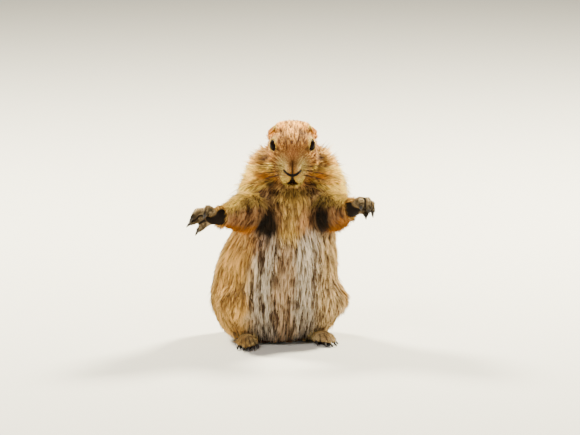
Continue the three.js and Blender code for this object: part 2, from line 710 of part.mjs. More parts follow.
const snoutLow = v(-12, -62, 132);
const snoutHigh = v(38, -14, 184);
const snoutHollow = pieceOf(grown(head, GAP * 3), snoutLow, snoutHigh, STEP.muzzle).intersect(
  behind(inHead(0, SNOUT_FROM, 0), inHeadTurn(0, 1, 0), GAP / 2),
);
torso = torso.subtract(snoutHollow);

addNode("neck", torso.intersect(neckCut.back).intersect(collarCut.front), coat);
addNode("chest", torso.intersect(collarCut.back).intersect(waistCut.front), paleCoat);
addNode("belly", torso.intersect(waistCut.back).intersect(hipCut.front), paleCoat);
addNode("hips", torso.intersect(hipCut.back).intersect(tailCut.back), coat);

// Head
let skull = pieceOf(body, v(-44, -62, 132), v(68, 22, 214), STEP.head)
  .intersect(neckCut.front)
  .intersect(collarCut.front)
  .subtract(snoutHollow);
for (const side of SIDES) {
  skull = skull.subtract(armSocket(side, GAP));
  skull = skull.subtract(eyeBall(side, EYE_RADIUS + GAP)).subtract(lidOpening(side));
  addNode(`eye_${side}`, eyeBall(side, EYE_RADIUS), eyeBlack);
  const reach = v(10, 10, 11);
  const place = inHead(signOf(side) * EAR_AT.x, EAR_AT.y, EAR_AT.z);
  const bed = pieceOf(grown(body, GAP), place.clone().sub(reach), place.clone().add(reach), STEP.ear);
  const ear = earLeaf(side, 1, 0).subtract(earLeaf(side, EAR_CUP, EAR_SIZE.thick * 0.75)).subtract(bed);
  addNode(`ear_${side}`, ear, faceCoat);
}
addNode("head", skull, faceCoat);

const snout = pieceOf(head, snoutLow, snoutHigh, STEP.muzzle).intersect(snoutCut.front);
addNode("muzzle", snout.subtract(nostrilLine()).subtract(lipSplit()).subtract(mouthOpening()), faceCoat);

// A claw that carries on from a digit's last joint and curls down, or with a margin the bed that holds it
function clawOf(tip, along, size, margin = 0) {
  const drop = v(0, 0.6, -1).projectOnPlane(along).normalize();
  const bend = (reach, fall) =>
    tip.clone().addScaledVector(along, reach).addScaledVector(drop, size.length * size.fall * fall);
  const points = [
    bend(size.length * 0.1 - margin, -0.15),
    bend(size.length * 0.42, 0),
    bend(size.length * 0.76, 0.4),
    bend(size.length, 1),
  ];
  return taper(points, (t) => size.radius * (1 - 0.8 * t * t) + margin * 1.4, 5, 3, 1, drop);
}

// Adds the claw of one digit and returns the flesh with a bed cut for it
function addClaw(name, flesh, tip, along, size) {
  addNode(name, clawOf(tip, along, size), clawHorn);
  return flesh.subtract(clawOf(tip, along, size, GAP));
}

const alongOf = (a, b) => b.clone().sub(a).normalize();

// Arms and hands
for (const side of SIDES) {
  const { elbow, wrist, shoulder } = ARM[side];
  const low = v(Math.min(shoulder.x, wrist.x) - 34, -96, 88);
  const high = v(Math.max(shoulder.x, wrist.x) + 34, 0, 158);
  const whole = pieceOf(body, low, high, STEP.arm).intersect(armSocket(side, 0)).subtract(snoutHollow);
  const elbowCut = cut(elbow, wrist.clone().sub(shoulder));
  const wristCut = cut(wrist, wrist.clone().sub(elbow));
  addNode(`upper_arm_${side}`, whole.intersect(elbowCut.back), coat);
  addNode(`forearm_${side}`, whole.intersect(elbowCut.front).intersect(wristCut.back), coat);
  const reach = v(36, 30, 24);
  const handLow = wrist.clone().sub(reach);
  const handHigh = wrist.clone().add(reach);
  let hand = pieceOf(blend(3, handField(side), arms[side]), handLow, handHigh, STEP.hand).intersect(wristCut.front);
  HAND[side].fingers.forEach(([, knuckle, tip], i) => {
    const name = `claw_hand_${side}_${i + 2}`;
    hand = addClaw(name, hand, fromWrist(side, tip), alongOf(knuckle, tip), HAND_CLAW);
  });
  addNode(`hand_${side}`, hand, pawSkin);
}

// Hind legs and feet
for (const side of SIDES) {
  const s = signOf(side);
  const centre = inBody(s * 40, -6, 36);
  const reach = v(48, 58, 46);
  const low = centre.clone().sub(reach);
  const high = centre.clone().add(reach);
  low.z = -6;
  const whole = pieceOf(body, low, high, STEP.leg)
    .intersect(floor)
    .intersect(haunchSocket(side, 0))
    .subtract(feet[side].hollow);
  const kneeCut = cut(inBody(s * 44, -18, 23), inBodyTurn(0, -0.42, -0.9));
  addNode(`thigh_${side}`, whole.intersect(kneeCut.back), coat);
  addNode(`shank_${side}`, whole.intersect(kneeCut.front), coat);
  let foot = feet[side].solid;
  for (let i = 0; i < TOE_COUNT; i++) {
    const [, knuckle, tip] = toePoints(s, i).map((p) => p.applyMatrix4(footFrame(s)));
    foot = addClaw(`claw_foot_${side}_${i + 1}`, foot, tip, alongOf(knuckle, tip), FOOT_CLAW);
  }
  addNode(`foot_${side}`, foot, pawSkin);
}

// Tail, with a brush of flat locks on its last part
const tailSolid = pieceOf(body, v(-60, 30, -6), v(30, 150, 30), STEP.tail).intersect(floor).intersect(tailCut.front);
const tailMiddle = cut(tailCurve.getPoint(0.55), tailCurve.getTangent(0.55));
addNode("tail_base", tailSolid.intersect(tailMiddle.back), coat);

function tailLocks() {
  const locks = [];
  const turn = Math.PI * (3 - Math.sqrt(5)); // the golden angle spreads the roots evenly
  for (let i = 0; i < TAIL_LOCKS.count; i++) {
    const share = 0.58 + (0.4 * i) / (TAIL_LOCKS.count - 1);
    const root = tailCurve.getPointAt(share);
    const along = tailCurve.getTangentAt(share);
    const side = v(0, 0, 1).cross(along).normalize();
    const up = along.clone().cross(side);
    const angle = i * turn;
    const out = side.multiplyScalar(Math.cos(angle)).addScaledVector(up, Math.sin(angle) * 0.8);
    const points = [0, 0.35, 0.7, 1].map((t) =>
      root
        .clone()
        .addScaledVector(out, 2 + TAIL_LOCKS.length * TAIL_LOCKS.lift * (t - 0.35 * t * t))
        .addScaledVector(along, TAIL_LOCKS.length * t),
    );
    for (const p of points) p.z = Math.max(p.z, TAIL_LOCKS.thick * 0.4);
    const width = (t) => TAIL_LOCKS.width * (0.75 + 0.6 * t - 1.2 * t * t);
    locks.push(taper(points, width, 4, 3, TAIL_LOCKS.thick / TAIL_LOCKS.width, out));
  }
  return locks;
}

let brush = tailSolid.intersect(tailMiddle.front);
brush = wasm.Manifold.union([brush, ...tailLocks()]).intersect(floor).intersect(tailMiddle.front);
addNode("tail_tip", brush, blackBrush);

// The part's own frame: the middle of its footprint box lies at the origin, on the floor
const box = new THREE.Box3().setFromObject(group);
const middle = box.getCenter(v(0, 0, 0));
for (const mesh of group.children) mesh.geometry.translate(-middle.x, -middle.y, -box.min.z);

export default group;
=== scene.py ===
import math

import bpy
import numpy as np
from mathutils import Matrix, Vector
from mathutils.bvhtree import BVHTree
from mathutils.kdtree import KDTree


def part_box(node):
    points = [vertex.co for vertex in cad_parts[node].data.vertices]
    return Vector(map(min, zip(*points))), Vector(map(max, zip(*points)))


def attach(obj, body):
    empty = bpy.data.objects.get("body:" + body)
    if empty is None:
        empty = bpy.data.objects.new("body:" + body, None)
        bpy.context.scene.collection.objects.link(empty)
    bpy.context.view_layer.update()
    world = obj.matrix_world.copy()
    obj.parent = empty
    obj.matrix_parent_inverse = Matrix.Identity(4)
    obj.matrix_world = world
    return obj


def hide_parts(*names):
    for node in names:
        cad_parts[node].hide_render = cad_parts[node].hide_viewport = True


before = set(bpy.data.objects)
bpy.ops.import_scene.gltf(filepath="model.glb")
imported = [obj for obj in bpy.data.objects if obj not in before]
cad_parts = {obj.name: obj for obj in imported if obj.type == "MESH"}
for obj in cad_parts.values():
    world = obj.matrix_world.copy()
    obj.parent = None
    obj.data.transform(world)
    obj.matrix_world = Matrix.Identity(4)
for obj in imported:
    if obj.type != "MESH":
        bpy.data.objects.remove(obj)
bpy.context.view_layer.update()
bpy.ops.object.select_all(action="DESELECT")

RANDOM_SEED = 20

# Named sizes of the animal in millimetres, as the solids have them

EYE_LINE = np.array([13.0, -20.0, 182.4])  # midpoint between the eyeballs
HEAD_PITCH = math.radians(24)
BODY_YAW = math.radians(15)
HIP = np.array([-3.0, 8.0, 0.0])
EYE_RADIUS = 6.2
EYE_CENTRE = np.array([13.3, -1.6, -0.2])  # the left one, in the head's frame
EYE_AZIMUTH = math.radians(56)
EYE_RISE = math.radians(8)
LID_HALF_LENGTH = 6.2
LID_HALF_HEIGHT = 4.2
LID_SLANT = math.radians(42)
EAR_AT = np.array([18.6, 13.0, 6.6])
NOSTRIL_HALF_WIDTH = 7.3
NOSTRIL_LOW = -27.6  # in the front view, below the eyes, as are the heights of the mouth
NOSTRIL_RISE = 4.4
MOUTH_TOP = -30.0
MOUTH_WIDE = -34.6
MOUTH_LOW = -37.2
MOUTH_HALF_WIDTH = 5.4
SIDES = {"left": 1.0, "right": -1.0}
ARM = {
    "left": [(34, -13, 122), (49, -29, 123), (64, -50, 129.4)],
    "right": [(-8, -18, 122), (-29, -34, 122.8), (-50, -52, 123)],
}
FINGERS = {
    "left": [
        [(5.5, -5, 6.8), (9, -12, 9.4), (9.4, -15.8, 4.2)],
        [(10.5, -4.5, 7.2), (15.6, -9.8, 8.4), (16.4, -13.8, 1)],
        [(12.5, -1, 3.6), (18.6, -4.6, 4.8), (19.6, -9, -1.4)],
        [(9.5, 0.5, -1.4), (13.6, -4, -2.6), (13.8, -8.8, -4.6)],
    ],
    "right": [
        [(-8, -6, 5.4), (-11.8, -13, 8.8), (-14, -16, 3.8)],
        [(-13.4, -4, 4.8), (-21, -7.5, 5.2), (-25.4, -10.5, 0)],
        [(-14, -2, -0.2), (-22.4, -5.5, -3.2), (-26.6, -8, -5.4)],
        [(-11, -2, -4.2), (-16.8, -5, -8.8), (-19.8, -6.5, -12)],
    ],
}
FOOT_LENGTH = 47.0
TAIL_ROOT_Y = 40.0
TAIL_LENGTH = 74.0
TAIL_RADIUS = [10, 7, 6.6, 6.4, 5.2, 2.2]
NECK_TOP = (13, 5, 161.5)
NECK_TO_HEAD = (0, -0.82, 0.57)
NOSE_TIP = (0, -27, -15)  # in the head's frame

# Frames: the body's, the head's, and the front view, which looks at the face from ten degrees above

VIEW_TILT = math.radians(10)
TO_FACE = np.array([0, math.cos(VIEW_TILT), -math.sin(VIEW_TILT)])
UP_IN_VIEW = np.array([0, math.sin(VIEW_TILT), math.cos(VIEW_TILT)])
EYES_IN_VIEW = (13.0, 175.07)


def turn_x(angle):
    c, s = math.cos(angle), math.sin(angle)
    return np.array([[1, 0, 0], [0, c, -s], [0, s, c]])


def turn_z(angle):
    c, s = math.cos(angle), math.sin(angle)
    return np.array([[c, -s, 0], [s, c, 0], [0, 0, 1]])


HEAD_TURN = turn_x(HEAD_PITCH)
BODY_TURN = turn_z(BODY_YAW)


def from_head(points):
    return np.asarray(points, float) @ HEAD_TURN.T + EYE_LINE


def to_head(points):
    return (points - EYE_LINE) @ HEAD_TURN


def front_view(points):
    """Places in the front view: how many mm they lie to the side of the eyes' midpoint, and above it."""
    height = points[:, 2] * math.cos(VIEW_TILT) + points[:, 1] * math.sin(VIEW_TILT)
    return points[:, 0] - EYES_IN_VIEW[0], height - EYES_IN_VIEW[1]


def from_body(points):
    return np.asarray(points, float) @ BODY_TURN.T + HIP


def to_body(points):
    return (points - HIP) @ BODY_TURN


def box_middle(node):
    low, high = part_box(node)
    return (np.array(low) + np.array(high)) * 500


# The solids' file is centred on its own box, so the eyes say how far it was moved
EYES_MEASURED = np.array([13.0, -21.38, 181.57])
SHIFT = (box_middle("eye_left") + box_middle("eye_right")) / 2 - EYES_MEASURED


def metres(points):
    return (np.asarray(points, float) + SHIFT) * 0.001


def millimetres(points):
    return np.asarray(points, float) * 1000 - SHIFT


def unit(vectors):
    return vectors / np.maximum(np.linalg.norm(vectors, axis=-1, keepdims=True), 1e-9)


def ramp(low, high, x):
    """0 below low, 1 above high, and a smooth rise between."""
    t = np.clip((x - low) / (high - low), 0, 1)
    return t * t * (3 - 2 * t)


def blob(points, centre, size):
    """1 at a centre, fading to nothing a little past its size."""
    return np.exp(-(((points - np.asarray(centre, float)) / np.asarray(size, float)) ** 2).sum(1))


def spot(across, up, centre, size):
    """1 at a centre in the front view, fading to nothing a little past its size."""
    return np.exp(-(((across - centre[0]) / size[0]) ** 2) - ((up - centre[1]) / size[1]) ** 2)


def along_line(points, line):
    """For each point: its distance from a line of places, how far along it lies, and the line's way there."""
    line = np.asarray(line, float)
    best = np.full(len(points), 1e9)
    share = np.zeros(len(points))
    way = np.zeros((len(points), 3))
    for i in range(len(line) - 1):
        step = line[i + 1] - line[i]
        t = np.clip(((points - line[i]) @ step) / (step @ step), 0, 1)
        distance = np.linalg.norm(points - (line[i] + t[:, None] * step), axis=1)
        nearer = distance < best
        best[nearer] = distance[nearer]
        share[nearer] = (i + t[nearer]) / (len(line) - 1)
        way[nearer] = step / np.linalg.norm(step)
    return best, share, way


def smooth_curve(places, steps):
    """A curve through places, as a list of points."""
    places = np.asarray(places, float)
    points = []
    for i in range(len(places) - 1):
        before = places[max(i - 1, 0)]
        after = places[min(i + 2, len(places) - 1)]
        for t in np.linspace(0, 1, steps, endpoint=False):
            a = 2 * places[i]
            b = places[i + 1] - before
            c = 2 * before - 5 * places[i] + 4 * places[i + 1] - after
            d = -before + 3 * places[i] - 3 * places[i + 1] + after
            points.append(0.5 * (a + b * t + c * t * t + d * t * t * t))
    points.append(places[-1])
    return np.array(points)


TAIL_LINE = smooth_curve(
    [
        from_body((0, TAIL_ROOT_Y, 13)),
        from_body((0.5, TAIL_ROOT_Y + TAIL_LENGTH * 0.33, 7.5)),
        from_body((3.5, TAIL_ROOT_Y + TAIL_LENGTH * 0.68, 6.5)),
        from_body((9, TAIL_ROOT_Y + TAIL_LENGTH * 0.98, 6.5)),
    ],
    8,
)
FOOT_LINE = {side: from_body([(s * 31, -8, 6.5), (s * 38, -8 - FOOT_LENGTH, 3)]) for side, s in SIDES.items()}
HAND_WAY = {side: unit(np.array([s * 0.75, -0.6, 0.1])) for side, s in SIDES.items()}
CLAWS = sorted(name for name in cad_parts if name.startswith("claw_"))

# The skin's regions. Each is a weight from 0 to 1 at every point.

def either(found, part):
    """The weight of a part that there is on both sides."""
    return np.maximum(found[f"{part}_left"], found[f"{part}_right"])


def mirrored(head):
    """Places in the head's frame, all on its left side."""
    return np.abs(head) * (1, 0, 0) + head * (0, 1, 1)


def regions(points):
    """The parts' weights, places in the head's and the body's frames, and the way each limb runs."""
    head = to_head(points)
    body = to_body(points)
    z = points[:, 2]
    found = {"head_place": head, "body_place": body, "toe_cleft": toe_clefts(points)}
    found["head"] = ramp(-7, 7, (points - NECK_TOP) @ np.array(NECK_TO_HEAD)) * ramp(141, 149, z)
    for name in ("finger", "cleft", "finger_tip"):
        found[name] = np.zeros(len(points))
    for side, s in SIDES.items():
        distance, share, found[f"arm_{side}_way"] = along_line(points, ARM[side])
        found[f"arm_{side}"] = (1 - ramp(17, 24, distance)) * ramp(0.12, 0.42, share)
        from_wrist = points - np.array(ARM[side][2], float)
        near_wrist = 1 - ramp(30, 36, np.linalg.norm(from_wrist, axis=1))
        found[f"hand_{side}"] = near_wrist * ramp(-3, 3, from_wrist @ HAND_WAY[side])
        distance, share, found[f"foot_{side}_way"] = along_line(points, FOOT_LINE[side])
        found[f"foot_{side}"] = (1 - ramp(11, 15, distance)) * (1 - ramp(11, 16, z)) * ramp(0.05, 0.3, share)
        found[f"leg_{side}"] = ramp(30, 46, s * body[:, 0]) * (1 - ramp(62, 84, z)) * (body[:, 1] < 45)
        from_ear = np.linalg.norm((head - EAR_AT * (s, 1, 1)) / (0.8, 1, 1), axis=1)
        found[f"ear_{side}"] = 1 - ramp(6.5, 8.5, from_ear)
        nearest, gap, share = finger_places(points, side)
        finger = found[f"hand_{side}"] * (1 - ramp(5.2, 6.6, nearest)) * ramp(0.02, 0.2, share)
        found["finger"] = np.maximum(found["finger"], finger)
        # Clefts: where two fingers lie close. Painted shade goes there: black in the coat, and bare
        # near-black leather on the skin
        found["cleft"] = np.maximum(found["cleft"], finger * (1 - ramp(1.2, 2.6, gap)))
        found["finger_tip"] = np.maximum(found["finger_tip"], finger * ramp(0.55, 0.95, share))
    distance, found["tail_share"], found["tail_way"] = along_line(points, TAIL_LINE)
    found["tail"] = (1 - ramp(13, 18, distance)) * ramp(0.02, 0.16, found["tail_share"])
    found["body"] = (1 - found["head"]) * (1 - found["tail"]) * (1 - either(found, "hand"))
    return found


def finger_places(points, side):
    """Distance from the nearest finger's line, how much farther off the next is, and how far out along it."""
    wrist = np.array(ARM[side][2], float)
    lines = [along_line(points, np.array(finger, float) + wrist) for finger in FINGERS[side]]
    distances = np.array([line[0] for line in lines])
    shares = np.array([line[1] for line in lines])
    order = distances.argsort(0)
    nearest, second = (np.take_along_axis(distances, order[i : i + 1], 0)[0] for i in (0, 1))
    return nearest, second - nearest, np.take_along_axis(shares, order[:1], 0)[0]


def toe_clefts(points):
    """Where the skin dips between neighbouring toes, from lines that run back from the claws. Painted shade
    goes there: black coat and bare near-black sole leather.
    """
    weight = np.zeros(len(points))
    flat = (1, 1, 0)  # only the places on the floor count
    for side, (start, front) in FOOT_LINE.items():
        ends = [box_middle(name) - SHIFT for name in CLAWS if name.startswith(f"claw_foot_{side}")]
        heel = start + 0.35 * (front - start)
        lines = [along_line(points * flat, [heel * flat, end * flat]) for end in ends]
        nearest, second = np.sort(np.array([line[0] for line in lines]), axis=0)[:2]
        reach = np.max([line[1] for line in lines], axis=0)
        low = (1 - ramp(11, 14, points[:, 2])) * (1 - ramp(8, 10, nearest))
        weight = np.maximum(weight, low * ramp(0.6, 0.85, reach) * (1 - ramp(0.7, 1.8, second - nearest)))
    return weight


def eye_distance(head):
    """Distance from the nearer eyeball's centre."""
    return np.linalg.norm(mirrored(head) - EYE_CENTRE, axis=1)


def nostril_distance(across, up):
    """Distance from the curved line of the nostrils, in the front view."""
    t = np.clip(across / NOSTRIL_HALF_WIDTH, -1, 1)
    dx = across - t * NOSTRIL_HALF_WIDTH
    dz = up - (NOSTRIL_LOW + NOSTRIL_RISE * t * t)
    slope = 1 + (2 * NOSTRIL_RISE * t / NOSTRIL_HALF_WIDTH) ** 2
    return np.sqrt(dx * dx + dz * dz / slope)


def mouth_half_width(up):
    """Half the width of the open mouth at a height in the front view."""
    heights = [MOUTH_LOW, MOUTH_LOW + 0.6, MOUTH_WIDE, MOUTH_WIDE + 1.6, MOUTH_TOP, NOSTRIL_LOW]
    halves = [0, 3.0, MOUTH_HALF_WIDTH, 3.0, 1.1, 0.7]
    return np.interp(up, heights, halves, left=-2, right=-2)


def bare_places(points, normals, found):
    """Where no coat grows, from 0 to 1: nose, lips, eyes, palms, soles and the undersides of the fingers."""
    head = found["head_place"]
    across, up = front_view(points)
    front = (1 - ramp(-12, -8, head[:, 1])) * found["head"]
    nostrils = 1 - ramp(0.7, 1.3, nostril_distance(across, up))
    half = mouth_half_width(up)
    mouth = 1 - ramp(half - 0.2, half + 0.5, np.abs(across))
    eyes = 1 - ramp(6.6, 7.3, eye_distance(head))
    # The finger clefts stay bare, so their near-black leather paints shade between the fingers
    furry = found["finger"] * ramp(-0.6, -0.2, normals[:, 2]) * (1 - found["cleft"])
    palms = either(found, "hand") * ramp(0.05, 0.4, -normals[:, 1] - 0.25 * normals[:, 2]) * (1 - furry)
    # Bare leather in the toe clefts paints shade between the toes
    soles = either(found, "foot") * np.maximum(ramp(0.2, 0.6, -normals[:, 2]), 0.4 * found["toe_cleft"])
    return np.maximum.reduce([front * np.maximum(nostrils, mouth), eyes, palms, soles])


# Materials

def linear(hex_colour):
    """An sRGB hex colour as linear RGBA."""
    values = [int(hex_colour[i : i + 2], 16) / 255 for i in (1, 3, 5)]
    return [c / 12.92 if c <= 0.04045 else ((c + 0.055) / 1.055) ** 2.4 for c in values] + [1.0]


def add_node(tree, kind, settings=None, inputs=None, output=0, stops=()):
    """Adds a node with settings, inputs (values or other nodes' outputs) and a colour ramp's stops."""
    node = tree.nodes.new(kind)
    for name, value in (settings or {}).items():
        setattr(node, name, value)
    for name, value in (inputs or {}).items():
        if isinstance(value, bpy.types.NodeSocket):
            tree.links.new(value, node.inputs[name])
        else:
            node.inputs[name].default_value = value
    for _ in stops[2:]:
        node.color_ramp.elements.new(0.5)
    for i, (place, colour) in enumerate(stops):
        node.color_ramp.elements[i].position = place
        node.color_ramp.elements[i].color = (*colour, 1)
    return node.outputs[output] if node.outputs else None


def new_material(name, *attributes):
    """A material, its empty node tree, and there the values of some of the mesh's attributes."""
    material = bpy.data.materials.new(name)
    material.use_nodes = True
    tree = material.node_tree
    tree.nodes.clear()
    kind = "ShaderNodeAttribute"
    values = {each: add_node(tree, kind, {"attribute_name": each}, output="Fac") for each in attributes}
    return material, tree, values


# The patterns' real sizes in millimetres
PAW_PEBBLE = 1.43
PAW_CREASE = 1.11
IRIS_CLOUD = 2.5
HORN_SCRATCH = 0.667
NOSE_PEBBLE = 0.455
WHISKER_BAND = 5.56
PER_METRE = 1000  # a pattern's scale is how many of its patches fit in a metre

# Inputs of the node that mixes two colours (the second's share, the first, the second) and its result
SHARE, FIRST, SECOND, MIXED = 0, 6, 7, 2
MIX = {"data_type": "RGBA"}
MULTIPLY = {"data_type": "RGBA", "blend_type": "MULTIPLY"}

# The coat's colours, each where its marking's weight is high. The first is the ground colour. Black and umber
# also paint shade in folds, clefts and creases, and cream a highlight along the tops of the arms.
COAT_COLOURS = {
    "tawny": "#c48d45",
    "rosy": "#b47f50",
    "silver": "#cec6bf",
    "cream": "#ffeb7e",
    "gold": "#c27a0e",
    "umber": "#432609",
    "black": "#0a0603",
}
MARKS = list(COAT_COLOURS)[1:]

# A lock's brightness by its own shade, and from its root to its tip, as red, green and blue factors
SHADE_STOPS = ((0, (0.13, 0.08, 0.05)), (0.5, (0.88, 0.78, 0.66)), (1, (1.75, 1.72, 1.66)))
ALONG_STOPS = ((0, (0.2, 0.15, 0.12)), (0.45, (0.82, 0.8, 0.78)), (1, (1.2, 1.2, 1.2)))
UNDER_COAT = (0.42, 0.36, 0.31, 1)  # how much darker the skin under the coat is


def coat_colour(tree, weights):
    colour = linear(COAT_COLOURS["tawny"])
    for name in MARKS:
        values = {SHARE: weights[name], FIRST: colour, SECOND: linear(COAT_COLOURS[name])}
        colour = add_node(tree, "ShaderNodeMix", MIX, values, MIXED)
    return colour


# Guard hairs and underfur: keratin fibres with a dull, slightly silky sheen, darker at the root than at the
# tip, which gives the grizzled look. Each lock has its own shade.
def coat_material():
    material, tree, weights = new_material("Prairie dog fur", "shade", "along", *MARKS)
    colour = coat_colour(tree, weights)
    for name, stops in (("shade", SHADE_STOPS), ("along", ALONG_STOPS)):
        factor = add_node(tree, "ShaderNodeValToRGB", {}, {"Fac": weights[name]}, "Color", stops)
        values = {SHARE: 1.0, FIRST: colour, SECOND: factor}
        colour = add_node(tree, "ShaderNodeMix", MULTIPLY, values, MIXED)
    values = {"Base Color": colour, "Roughness": 0.7, "IOR": 1.55, "Specular IOR Level": 0.12}
    shader = add_node(tree, "ShaderNodeBsdfPrincipled", {}, values)
    add_node(tree, "ShaderNodeOutputMaterial", {}, {"Surface": shader})
    return material


# Skin: soft and matt under the coat, leathery and dark on palms and soles, black at the nostrils and lips,
# pebbled about 1.4 mm apart with finer creases between
# Near black in the clefts between fingers and toes: painted shade
def skin_material():
    material, tree, weights = new_material("Skin", "bare", "lip", "pad", *MARKS)
    place = add_node(tree, "ShaderNodeTexCoord", output="Object")
    values = {SHARE: 1.0, FIRST: coat_colour(tree, weights), SECOND: UNDER_COAT}
    under = add_node(tree, "ShaderNodeMix", MULTIPLY, values, MIXED)
    values = {"Vector": place, "Scale": PER_METRE / PAW_CREASE, "Detail": 3.0}
    creases = add_node(tree, "ShaderNodeTexNoise", {}, values, "Fac")
    values = {SHARE: creases, FIRST: linear("#070504"), SECOND: linear("#1d1510")}
    leather = add_node(tree, "ShaderNodeMix", MIX, values, MIXED)
    for name, colour in (("pad", "#7d6a50"), ("lip", "#060404")):
        values = {SHARE: weights[name], FIRST: leather, SECOND: linear(colour)}
        leather = add_node(tree, "ShaderNodeMix", MIX, values, MIXED)
    values = {SHARE: weights["bare"], FIRST: under, SECOND: leather}
    colour = add_node(tree, "ShaderNodeMix", MIX, values, MIXED)
    pebbles = {"Vector": place, "Scale": PER_METRE / PAW_PEBBLE}
    height = add_node(tree, "ShaderNodeTexVoronoi", {"feature": "F1"}, pebbles, "Distance")
    bump = add_node(tree, "ShaderNodeBump", {}, {"Strength": 0.5, "Distance": 0.0004, "Height": height})
    values = {"Base Color": colour, "Roughness": 0.6, "IOR": 1.45, "Specular IOR Level": 0.04, "Normal": bump}
    shader = add_node(tree, "ShaderNodeBsdfPrincipled", {}, values)
    add_node(tree, "ShaderNodeOutputMaterial", {}, {"Surface": shader})
    return material


# Eyeball: wet cornea over a dark brown iris that reads as black, with a sharp highlight
def eye_material():
    material, tree, _ = new_material("Wet cornea over dark iris")
    place = add_node(tree, "ShaderNodeTexCoord", output="Object")
    values = {"Vector": place, "Scale": PER_METRE / IRIS_CLOUD, "Detail": 2.0}
    cloud = add_node(tree, "ShaderNodeTexNoise", {}, values, "Fac")
    values = {SHARE: cloud, FIRST: linear("#050404"), SECOND: linear("#160d08")}
    colour = add_node(tree, "ShaderNodeMix", MIX, values, MIXED)
    values = {"Base Color": colour, "Roughness": 0.04, "IOR": 1.38, "Specular IOR Level": 0.025}
    shader = add_node(tree, "ShaderNodeBsdfPrincipled", {}, values)
    add_node(tree, "ShaderNodeOutputMaterial", {}, {"Surface": shader})
    return material


# Claw: dense horn, nearly black, polished in places by digging and finely scratched
def claw_material():
    material, tree, _ = new_material("Claw horn")
    place = add_node(tree, "ShaderNodeTexCoord", output="Object")
    values = {"Vector": place, "Scale": PER_METRE / HORN_SCRATCH, "Detail": 4.0}
    scratches = add_node(tree, "ShaderNodeTexNoise", {}, values, "Fac")
    values = {SHARE: scratches, FIRST: linear("#0c0908"), SECOND: linear("#30261e")}
    colour = add_node(tree, "ShaderNodeMix", MIX, values, MIXED)
    values = {"Value": scratches, "To Min": 0.25, "To Max": 0.5}
    rough = add_node(tree, "ShaderNodeMapRange", {}, values, "Result")
    values = {"Base Color": colour, "Roughness": rough, "IOR": 1.54}
    shader = add_node(tree, "ShaderNodeBsdfPrincipled", {}, values)
    add_node(tree, "ShaderNodeOutputMaterial", {}, {"Surface": shader})
    return material


# Nose and lid rims: bare moist skin, black, finely pebbled
def nose_material():
    material, tree, _ = new_material("Moist nose leather")
    place = add_node(tree, "ShaderNodeTexCoord", output="Object")
    pebbles = {"Vector": place, "Scale": PER_METRE / NOSE_PEBBLE}
    height = add_node(tree, "ShaderNodeTexVoronoi", {"feature": "F1"}, pebbles, "Distance")
    values = {SHARE: height, FIRST: linear("#040303"), SECOND: linear("#120c0a")}
    colour = add_node(tree, "ShaderNodeMix", MIX, values, MIXED)
    bump = add_node(tree, "ShaderNodeBump", {}, {"Strength": 0.4, "Distance": 0.0001, "Height": height})
    values = {"Base Color": colour, "Roughness": 0.45, "IOR": 1.4, "Specular IOR Level": 0.15, "Normal": bump}
    shader = add_node(tree, "ShaderNodeBsdfPrincipled", {}, values)
    add_node(tree, "ShaderNodeOutputMaterial", {}, {"Surface": shader})
    return material


# Whiskers: stiff keratin, dark brown and a little glossy, with faint paler stretches
def whisker_material():
    material, tree, _ = new_material("Whisker keratin")
    place = add_node(tree, "ShaderNodeTexCoord", output="Object")
    values = {"Vector": place, "Scale": PER_METRE / WHISKER_BAND}
    bands = add_node(tree, "ShaderNodeTexNoise", {}, values, "Fac")
    values = {SHARE: bands, FIRST: linear("#0d0805"), SECOND: linear("#3a2a1c")}
    colour = add_node(tree, "ShaderNodeMix", MIX, values, MIXED)
    values = {"Base Color": colour, "Roughness": 0.6, "Specular IOR Level": 0.1}
    shader = add_node(tree, "ShaderNodeBsdfPrincipled", {}, values)
    add_node(tree, "ShaderNodeOutputMaterial", {}, {"Surface": shader})
    return material


FUR = coat_material()
NOSE = nose_material()
WHISKER = whisker_material()
SKIN = skin_material()
CORNEA = eye_material()
HORN = claw_material()

# Markings: the weight of each of the coat's colours at a point, the same for skin and coat. A few of them are
# painted shade, and one a painted highlight

def ripple(points, size, seed):
    """A cheap smooth noise from -1 to 1 with patches of about the given size."""
    draw = np.random.default_rng(seed)
    total = np.zeros(len(points))
    for _ in range(7):
        way = unit(draw.normal(size=3)) * (2 * math.pi / (size * draw.uniform(1.4, 3.2)))
        total += np.sin(points @ way + draw.uniform(0, 2 * math.pi))
    return np.clip(total / 3, -1, 1)


# Marks of the face and throat, the same on both sides: the region that each keeps to, and its middle and size
# in mm in the front view
FACE_SPOTS = {
    "forehead": ("face", (9, 7), (5, 8)),
    "brow": ("face", (0, 3), (8, 9)),
    "inner_corner": ("face", (13.5, -4), (2.2, 2.6)),
    "bridge": ("face", (0, -7), (9, 9)),
    "nose_top": ("face", (0, -17), (3.2, 4.5)),
    "pads": ("face", (9.5, -21), (5, 9)),
    "upper_lip": ("face", (5, -31), (4, 3.5)),
    "temple": ("cheek", (19, -6), (7, 8)),
    "cheek_patch": ("cheek", (25, -12), (5.2, 3.8)),
    "jowl": ("cheek", (24, -28), (11, 6)),
    # Painted shade in the crease at each corner of the jaw, umber and black
    "jaw_corner_shade": ("jaw", (18.5, -35), (5, 2.6)),
    "throat": ("throat", (0, -46), (17, 9)),
}
LIP_MIDDLE = -26.5
LIP_RIM_HALF_WIDTH = 9.3
LIP_RIM_HALF_HEIGHT = 11.6
RIDGE_HALF_WIDTH = 1.3


